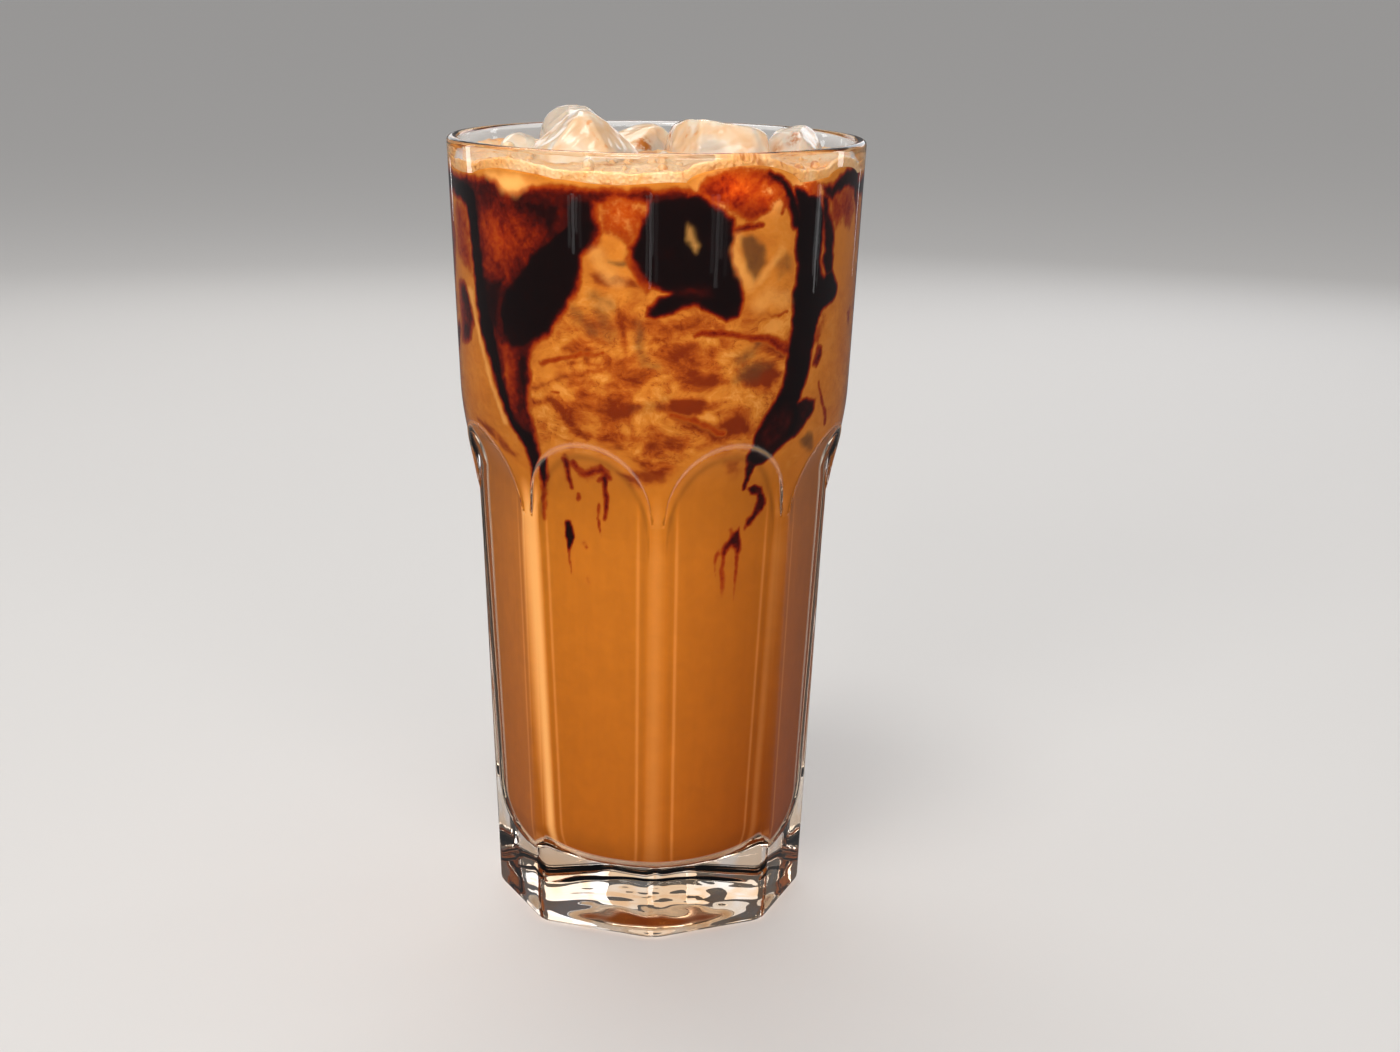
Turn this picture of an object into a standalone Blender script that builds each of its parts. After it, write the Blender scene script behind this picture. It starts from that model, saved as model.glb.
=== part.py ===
"""Iced coffee in a tall eight-sided glass, with pieces of ice standing above the drink.

Metres, Z up, the front towards -Y. The glass stands on z = 0 with its axis on the Z axis.
One ridge of the glass faces the front, and flat arched panels lie between the ridges.
"""
import math

import bmesh
import bpy
from mathutils import Euler
from mathutils import Vector

MM = 0.001

# The glass: overall size and the round body that the panels are pressed into.
RIM_DIAMETER = 88.2 * MM
GLASS_HEIGHT = 167.3 * MM
FOOT_DIAMETER = 67.0 * MM
WAIST_DIAMETER = 74.9 * MM
WAIST_HEIGHT = 88.0 * MM
BREAST_DIAMETER = 83.2 * MM
BREAST_HEIGHT = 115.0 * MM
LIP_ROUND = 1.1 * MM
HEEL_ROUND = 1.8 * MM

# The panels: eight flats with an elliptic arch over each and a scoop under the arch.
SIDES = 8
RIDGE_TURN = math.radians(1.5)
PANEL_HALF_ANGLE = math.radians(20.5)
ARCH_FOOT = 92.0 * MM
ARCH_RISE = 16.5 * MM
SCOOP_LENGTH = 11.0 * MM
PANEL_STEPS = 10

# The hollow: a round taper with a shoulder of its own and a bowl-shaped bottom.
RIM_WALL = 2.3 * MM
BREAST_WALL = 2.9 * MM
HOLLOW_WAIST_RADIUS = 32.3 * MM
HOLLOW_WAIST_HEIGHT = 94.0 * MM
HOLLOW_BREAST_HEIGHT = 119.0 * MM
FLOOR_HEIGHT = 12.8 * MM
FLOOR_CORNER = 10.0 * MM
FLOOR_TOP_RADIUS = 27.2 * MM

# The drink.
FILL_HEIGHT = 163.0 * MM
SIDE_GAP = 0.85 * MM
STREAM_GAP = 0.35 * MM
FLOOR_GAP = 0.42 * MM
FOAM_WAVE = 0.25 * MM
DRINK_COLUMNS = 64
DRINK_ROWS = 26
STREAM_LOW = 84.0 * MM

# Syrup streams on the side of the drink: half width in millimetres, then points down the
# stream as (degrees from the front, height in millimetres).
STREAMS = {
    "left_curtain": (8.0, ((-58, 158), (-52, 150), (-47, 138), (-44, 126))),
    "left_stream": (3.6, ((-47, 138), (-42, 120), (-39, 108))),
    "left_tail": (1.6, ((-39, 108), (-41, 98), (-42, 91))),
    "middle_block": (6.0, ((-28, 150), (-8, 153), (8, 147), (20, 148))),
    "middle_drip": (3.6, ((8, 147), (12, 140), (20, 137))),
    "right_stream": (4.6, ((40, 160), (45, 146), (46, 132), (42, 119))),
    "right_branch": (3.2, ((46, 132), (54, 143), (58, 153))),
    "right_foot": (4.4, ((42, 119), (50, 114), (34, 109))),
    "right_tail": (1.8, ((34, 109), (32, 101), (36, 95), (28, 88))),
}

# Ice: centre in millimetres, half sizes in millimetres, turn in degrees, roundness of the
# corners, and flats as (direction, distance in millimetres).
ICE_GAP = 0.35 * MM
ICE_RINGS = 7
ICE_COLUMNS = 13
ICE = {
    "ice_left": ((-15.0, -13.6, 160.0), (11.4, 10.0, 10.4), (34, 41, 18), 0.52,
                 (((0.1, -1.0, 0.75), 9.8), ((-0.9, -0.3, 0.9), 10.4))),
    "ice_left_back": ((-17.8, 11.4, 163.0), (7.2, 7.6, 10.2), (6, -8, 24), 0.76,
                      (((-0.8, -0.5, 0.9), 8.2),)),
    "ice_left_small": ((-30.0, 0.2, 161.8), (4.2, 6.4, 5.8), (12, 24, -10), 0.62,
                       (((0.4, -0.6, 0.8), 5.0),)),
    "ice_back": ((-2.8, 23.6, 159.4), (7.4, 6.6, 8.3), (14, -18, 30), 0.58,
                 (((0.6, -0.7, 0.7), 6.9),)),
    "ice_centre": ((12.2, 1.6, 160.1), (10.4, 11.4, 10.6), (-5, 8, 10), 0.42,
                   (((-0.85, -0.55, 0.6), 10.6), ((0.0, -0.9, 0.8), 12.0))),
    "ice_right": ((30.0, 9.4, 160.4), (6.2, 8.2, 8.8), (8, -12, -14), 0.60,
                  (((0.8, -0.3, 0.8), 6.9), ((-0.7, -0.6, 0.7), 7.2))),
}


def blend(low, high, low_slope, high_slope, span, share):
    """Cubic between two radii with a set slope at both ends."""
    square = share * share
    cube = square * share
    return ((2 * cube - 3 * square + 1) * low + (cube - 2 * square + share) * span * low_slope
            + (3 * square - 2 * cube) * high + (cube - square) * span * high_slope)


def lower_radius(height):
    """Radius of the tapered lower body at the ridges, carried on above the waist."""
    slope = (WAIST_DIAMETER - FOOT_DIAMETER) / 2 / WAIST_HEIGHT
    return FOOT_DIAMETER / 2 + slope * height


def body_radius(height):
    """Radius of the round body that the panels are pressed into."""
    low_slope = (WAIST_DIAMETER - FOOT_DIAMETER) / 2 / WAIST_HEIGHT
    high_slope = (RIM_DIAMETER - BREAST_DIAMETER) / 2 / (GLASS_HEIGHT - BREAST_HEIGHT)
    if height <= WAIST_HEIGHT:
        return lower_radius(height)
    if height >= BREAST_HEIGHT:
        return BREAST_DIAMETER / 2 + high_slope * (height - BREAST_HEIGHT)
    span = BREAST_HEIGHT - WAIST_HEIGHT
    share = (height - WAIST_HEIGHT) / span
    return blend(WAIST_DIAMETER / 2, BREAST_DIAMETER / 2, low_slope, high_slope, span, share)


def hollow_radius(height):
    """Radius of the hollow above its rounded bottom corner."""
    rim = RIM_DIAMETER / 2 - RIM_WALL
    breast = body_radius(HOLLOW_BREAST_HEIGHT) - BREAST_WALL
    corner = FLOOR_HEIGHT + FLOOR_CORNER
    low_slope = (HOLLOW_WAIST_RADIUS - FLOOR_TOP_RADIUS) / (HOLLOW_WAIST_HEIGHT - corner)
    high_slope = (rim - breast) / (GLASS_HEIGHT - HOLLOW_BREAST_HEIGHT)
    if height <= HOLLOW_WAIST_HEIGHT:
        return FLOOR_TOP_RADIUS + low_slope * (height - corner)
    if height >= HOLLOW_BREAST_HEIGHT:
        return breast + high_slope * (height - HOLLOW_BREAST_HEIGHT)
    span = HOLLOW_BREAST_HEIGHT - HOLLOW_WAIST_HEIGHT
    share = (height - HOLLOW_WAIST_HEIGHT) / span
    return blend(HOLLOW_WAIST_RADIUS, breast, low_slope, high_slope, span, share)


def arch_height(offset):
    """Height of the arch over a panel at an angle off the panel's middle."""
    share = min(1.0, abs(offset) / PANEL_HALF_ANGLE)
    return ARCH_FOOT + ARCH_RISE * math.sqrt(max(0.0, 1 - share * share))


def outer_radius(offset, height):
    """Outer radius of the glass at an angle off a panel's middle."""
    if abs(offset) >= PANEL_HALF_ANGLE:
        return body_radius(height)
    top = arch_height(offset)
    if height >= top:
        return body_radius(height)
    flat = lower_radius(height) * math.cos(PANEL_HALF_ANGLE) / math.cos(offset)
    length = SCOOP_LENGTH * (top - ARCH_FOOT + 1.0 * MM) / (ARCH_RISE + 1.0 * MM)
    if height <= top - length:
        return flat
    share = (height - top + length) / length
    edge = lower_radius(top) * math.cos(PANEL_HALF_ANGLE) / math.cos(offset)
    return flat + (body_radius(top) - edge) * share * share


def glass_columns():
    """Angles round the glass with the offset of each from the middle of its panel."""
    pitch = 2 * math.pi / SIDES
    columns = []
    for side in range(SIDES):
        ridge = -math.pi / 2 + RIDGE_TURN + side * pitch
        columns.append((ridge, -pitch / 2))
        middle = ridge + pitch / 2
        for step in range(PANEL_STEPS + 1):
            offset = PANEL_HALF_ANGLE * math.sin(math.pi * (step / PANEL_STEPS - 0.5))
            columns.append((middle + offset, offset))
    return columns


def outer_heights(offset):
    """Heights of the rows up the outside, set out so that one row follows the arch."""
    top = arch_height(offset)
    length = SCOOP_LENGTH * (top - ARCH_FOOT + 1.0 * MM) / (ARCH_RISE + 1.0 * MM)
    start = top - length
    heights = [HEEL_ROUND + (start - HEEL_ROUND) * share for share in (0.0, 0.5, 1.0)]
    heights += [start + length * share for share in (0.3, 0.55, 0.78, 1.0)]
    heights += [top + (BREAST_HEIGHT - top) * share for share in (0.25, 0.5, 0.75, 1.0)]
    return heights


def ring(mesh, places):
    """Row of vertices from (angle, radius, height) places."""
    return [mesh.verts.new((radius * math.cos(angle), radius * math.sin(angle), height))
            for angle, radius, height in places]


def skin(mesh, rows):
    """Faces between rows of equal length that run round an axis."""
    for low, high in zip(rows, rows[1:]):
        count = len(low)
        for index in range(count):
            after = (index + 1) % count
            mesh.faces.new((low[index], low[after], high[after], high[index]))


def cap(mesh, row, height):
    """Fan from a row to a point on the axis."""
    point = mesh.verts.new((0.0, 0.0, height))
    count = len(row)
    for index in range(count):
        mesh.faces.new((row[(index + 1) % count], row[index], point))


def finish(mesh, name, collection, material):
    """Object from a closed mesh, with its faces turned outwards."""
    bmesh.ops.recalc_face_normals(mesh, faces=mesh.faces)
    data = bpy.data.meshes.new(name)
    mesh.to_mesh(data)
    mesh.free()
    data.shade_smooth()
    data.set_sharp_from_angle(angle=math.radians(28))
    thing = bpy.data.objects.new(name, data)
    collection.objects.link(thing)
    if material is not None:
        data.materials.append(material)
    return thing


def make_material(name, colour, roughness, transmission):
    """Principled material of one sub-part."""
    material = bpy.data.materials.new(name)
    material.use_nodes = True
    shader = material.node_tree.nodes["Principled BSDF"]
    shader.inputs["Base Color"].default_value = colour
    shader.inputs["Roughness"].default_value = roughness
    shader.inputs["Transmission Weight"].default_value = transmission
    shader.inputs["IOR"].default_value = 1.5
    return material


def build_glass(collection):
    """Pressed glass: arched panels outside, a round hollow inside, a thick base."""
    material = make_material("glass", (0.93, 0.95, 0.95, 1.0), 0.05, 1.0)
    mesh = bmesh.new()
    columns = glass_columns()
    rows = []
    for inset, height in ((1.0, 0.0), (0.3, 0.28)):
        rows.append(ring(mesh, [(angle, outer_radius(offset, HEEL_ROUND) - inset * HEEL_ROUND,
                                 height * HEEL_ROUND) for angle, offset in columns]))
    ladders = [outer_heights(offset) for angle, offset in columns]
    for level in range(len(ladders[0])):
        rows.append(ring(mesh, [(angle, outer_radius(offset, ladder[level]), ladder[level])
                                for (angle, offset), ladder in zip(columns, ladders)]))
    lip = GLASS_HEIGHT - LIP_ROUND
    for height in (GLASS_HEIGHT - 26 * MM, lip):
        rows.append(ring(mesh, [(angle, body_radius(height), height)
                                for angle, offset in columns]))
    outside = body_radius(lip)
    inside = hollow_radius(lip)
    middle = (outside + inside) / 2
    half = (outside - inside) / 2
    for step in range(1, 5):
        turn = math.pi * step / 5
        radius = middle + half * math.cos(turn)
        height = lip + LIP_ROUND * math.sin(turn)
        rows.append(ring(mesh, [(angle, radius, height) for angle, offset in columns]))
    heights = [lip, 140 * MM, HOLLOW_BREAST_HEIGHT]
    span = HOLLOW_BREAST_HEIGHT - HOLLOW_WAIST_HEIGHT
    heights += [HOLLOW_BREAST_HEIGHT - span * step / 8 for step in range(1, 9)]
    heights += [58 * MM, FLOOR_HEIGHT + FLOOR_CORNER]
    for height in heights:
        rows.append(ring(mesh, [(angle, hollow_radius(height), height)
                                for angle, offset in columns]))
    centre = FLOOR_TOP_RADIUS - FLOOR_CORNER
    for step in range(1, 5):
        turn = math.pi / 2 * step / 4
        radius = centre + FLOOR_CORNER * math.cos(turn)
        height = FLOOR_HEIGHT + FLOOR_CORNER * (1 - math.sin(turn))
        rows.append(ring(mesh, [(angle, radius, height) for angle, offset in columns]))
    skin(mesh, rows)
    cap(mesh, rows[-1], FLOOR_HEIGHT)
    cap(mesh, rows[0], 0.0)
    return finish(mesh, "glass", collection, material)


def stream_cover(angle, height):
    """How fully a syrup stream covers a spot on the side of the drink, from 0 to 1."""
    best = 0.0
    for half_width, points in STREAMS.values():
        for first, second in zip(points, points[1:]):
            radius = hollow_radius(height)
            x_first = math.radians(first[0]) * radius
            x_second = math.radians(second[0]) * radius
            x_here = angle * radius
            run = Vector((x_second - x_first, (second[1] - first[1]) * MM))
            here = Vector((x_here - x_first, height - first[1] * MM))
            share = max(0.0, min(1.0, here.dot(run) / run.length_squared))
            distance = (here - run * share).length
            edge = half_width * MM
            best = max(best, min(1.0, max(0.0, (edge + 1.2 * MM - distance) / (1.6 * MM))))
    return best


def drink_radius(angle, height):
    """Radius of the drink, nearer the wall where a syrup stream lies."""
    cover = stream_cover(angle, height)
    return hollow_radius(height) - SIDE_GAP + (SIDE_GAP - STREAM_GAP) * cover


def build_drink(collection):
    """Coffee up to its foam, with the syrup streams standing proud of its side."""
    material = make_material("coffee", (0.72, 0.39, 0.13, 1.0), 0.35, 0.0)
    mesh = bmesh.new()
    angles = [math.radians(360 * index / DRINK_COLUMNS - 180) for index in range(DRINK_COLUMNS)]

    def row(radius, height):
        return ring(mesh, [(angle - math.pi / 2, radius, height) for angle in angles])

    low = FLOOR_HEIGHT + FLOOR_GAP
    corner = FLOOR_CORNER - SIDE_GAP
    centre = FLOOR_TOP_RADIUS - FLOOR_CORNER
    rows = []
    for step in range(4, -1, -1):
        turn = math.pi / 2 * step / 4
        rows.append(row(centre + corner * math.cos(turn),
                        low + (FLOOR_CORNER - FLOOR_GAP) * (1 - math.sin(turn))))
    rows.append(row(hollow_radius(58 * MM) - SIDE_GAP, 58 * MM))
    for step in range(DRINK_ROWS + 1):
        height = STREAM_LOW + (FILL_HEIGHT - 0.6 * MM - STREAM_LOW) * step / DRINK_ROWS
        rows.append(ring(mesh, [(angle - math.pi / 2, drink_radius(angle, height), height)
                                for angle in angles]))
    for share, lift in ((0.985, 0.6), (0.66, 0.0), (0.33, 0.0)):
        radius = share * (hollow_radius(FILL_HEIGHT) - SIDE_GAP)
        places = []
        for angle in angles:
            wave = math.sin(3 * angle + 5 * share) + math.sin(5 * angle - 9 * share)
            height = FILL_HEIGHT + FOAM_WAVE * (wave if lift == 0.0 else 0.0)
            places.append((angle - math.pi / 2, radius, height))
        rows.append(ring(mesh, places))
    skin(mesh, rows)
    cap(mesh, rows[-1], FILL_HEIGHT)
    cap(mesh, rows[0], low)
    return finish(mesh, "coffee", collection, material)


def build_ice(name, collection, material, grow):
    """Piece of ice with melted corners, or the same shape grown by a gap."""
    place, halves, turn, roundness, flats = ICE[name]
    turned = Euler([math.radians(value) for value in turn]).to_matrix()
    centre = Vector(place) * MM
    sizes = [half * MM + grow for half in halves]

    def swell(value):
        return math.copysign(abs(value) ** roundness, value)

    mesh = bmesh.new()
    for level in range(ICE_RINGS + 1):
        up = math.pi * (level / ICE_RINGS - 0.5)
        count = 1 if level in (0, ICE_RINGS) else ICE_COLUMNS
        for index in range(count):
            round_angle = 2 * math.pi * (index + 0.5) / ICE_COLUMNS
            spot = Vector((sizes[0] * swell(math.cos(up)) * swell(math.cos(round_angle)),
                           sizes[1] * swell(math.cos(up)) * swell(math.sin(round_angle)),
                           sizes[2] * swell(math.sin(up))))
            if count == 1:
                spot = Vector((0.0, 0.0, math.copysign(sizes[2], up)))
            mesh.verts.new(centre + turned @ spot)
    hull = bmesh.ops.convex_hull(mesh, input=mesh.verts)
    spare = [item for item in hull["geom_interior"] if isinstance(item, bmesh.types.BMVert)]
    bmesh.ops.delete(mesh, geom=spare, context="VERTS")
    for direction, distance in flats:
        normal = Vector(direction).normalized()
        spot = centre + normal * (distance * MM + grow)
        parts = mesh.verts[:] + mesh.edges[:] + mesh.faces[:]
        bmesh.ops.bisect_plane(mesh, geom=parts, plane_co=spot, plane_no=normal,
                               clear_outer=True)
        rim = [edge for edge in mesh.edges if edge.is_boundary]
        if rim:
            bmesh.ops.edgeloop_fill(mesh, edges=rim)
    bmesh.ops.remove_doubles(mesh, verts=mesh.verts, dist=0.00002)
    bmesh.ops.triangulate(mesh, faces=mesh.faces)
    return finish(mesh, name, collection, material)


def cut(thing, cutter):
    """Take a cutter's shape out of an object."""
    step = thing.modifiers.new("cut_" + cutter.name, "BOOLEAN")
    step.operation = "DIFFERENCE"
    step.solver = "EXACT"
    step.object = cutter


def main():
    """Build the glass, the drink and the ice."""
    for thing in list(bpy.data.objects):
        bpy.data.objects.remove(thing, do_unlink=True)
    parts = bpy.data.collections.new("iced_coffee")
    cutters = bpy.data.collections.new("cutters")
    bpy.context.scene.collection.children.link(parts)
    bpy.context.scene.collection.children.link(cutters)
    build_glass(parts)
    drink = build_drink(parts)
    clear_ice = make_material("ice", (0.93, 0.86, 0.74, 1.0), 0.15, 0.5)
    for name in ICE:
        build_ice(name, parts, clear_ice, 0.0)
        pocket = build_ice(name, cutters, None, ICE_GAP)
        pocket.name = name + "_pocket"
        pocket.hide_render = True
        pocket.display_type = "WIRE"
        cut(drink, pocket)


main()
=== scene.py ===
"""Iced coffee in a tall pressed glass: syrup inside the wall, foam and ice on top."""
from __future__ import annotations

import logging
import math
import random
from collections.abc import Iterator
from dataclasses import dataclass
from enum import Enum

import bmesh
import bpy
import numpy as np
from mathutils import Euler, Matrix, Vector, noise

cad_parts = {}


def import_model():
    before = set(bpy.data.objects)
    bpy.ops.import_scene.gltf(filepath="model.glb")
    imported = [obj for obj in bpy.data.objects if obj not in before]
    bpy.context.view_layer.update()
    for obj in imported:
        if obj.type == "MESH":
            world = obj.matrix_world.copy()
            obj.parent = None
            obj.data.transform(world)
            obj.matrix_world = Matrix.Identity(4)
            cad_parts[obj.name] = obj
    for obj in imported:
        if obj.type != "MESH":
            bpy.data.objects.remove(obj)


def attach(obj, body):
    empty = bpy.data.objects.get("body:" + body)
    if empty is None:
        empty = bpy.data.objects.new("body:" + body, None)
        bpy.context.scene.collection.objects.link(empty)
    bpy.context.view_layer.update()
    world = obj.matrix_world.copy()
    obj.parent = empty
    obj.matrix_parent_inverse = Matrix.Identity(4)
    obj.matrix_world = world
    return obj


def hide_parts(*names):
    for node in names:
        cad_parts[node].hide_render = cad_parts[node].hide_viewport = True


LOG = logging.getLogger("iced_coffee")
MM = 0.001
TINY = 1e-9
NOISE_SEED = 3
WHITE = (1.0, 1.0, 1.0)
Colour = tuple[float, float, float]
Point = tuple[float, float, float]


class Zone(Enum):
    """What a mark on the wall is; BARE takes syrup away."""

    SYRUP = "syrup"
    BARE = "bare"
    CREAM = "cream"
    ICE = "ice"
    STAIN = "stain"


@dataclass(frozen=True)
class Stroke:
    """A mark on the inside of the wall, as a line with a width at each point.

    Points are (degrees from the front, height in mm, half width in mm). Depth is the
    thickness of the layer, from 0 for none to 1 for black syrup, and soft is the width
    in mm over which its edge fades.
    """

    depth: float
    soft: float
    points: tuple[Point, ...]
    zone: Zone = Zone.SYRUP


@dataclass(frozen=True)
class Pool:
    """A patch on the inside of the wall, as a closed outline of (degrees, mm) points."""

    depth: float
    soft: float
    outline: tuple[tuple[float, float], ...]
    zone: Zone = Zone.SYRUP


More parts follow.
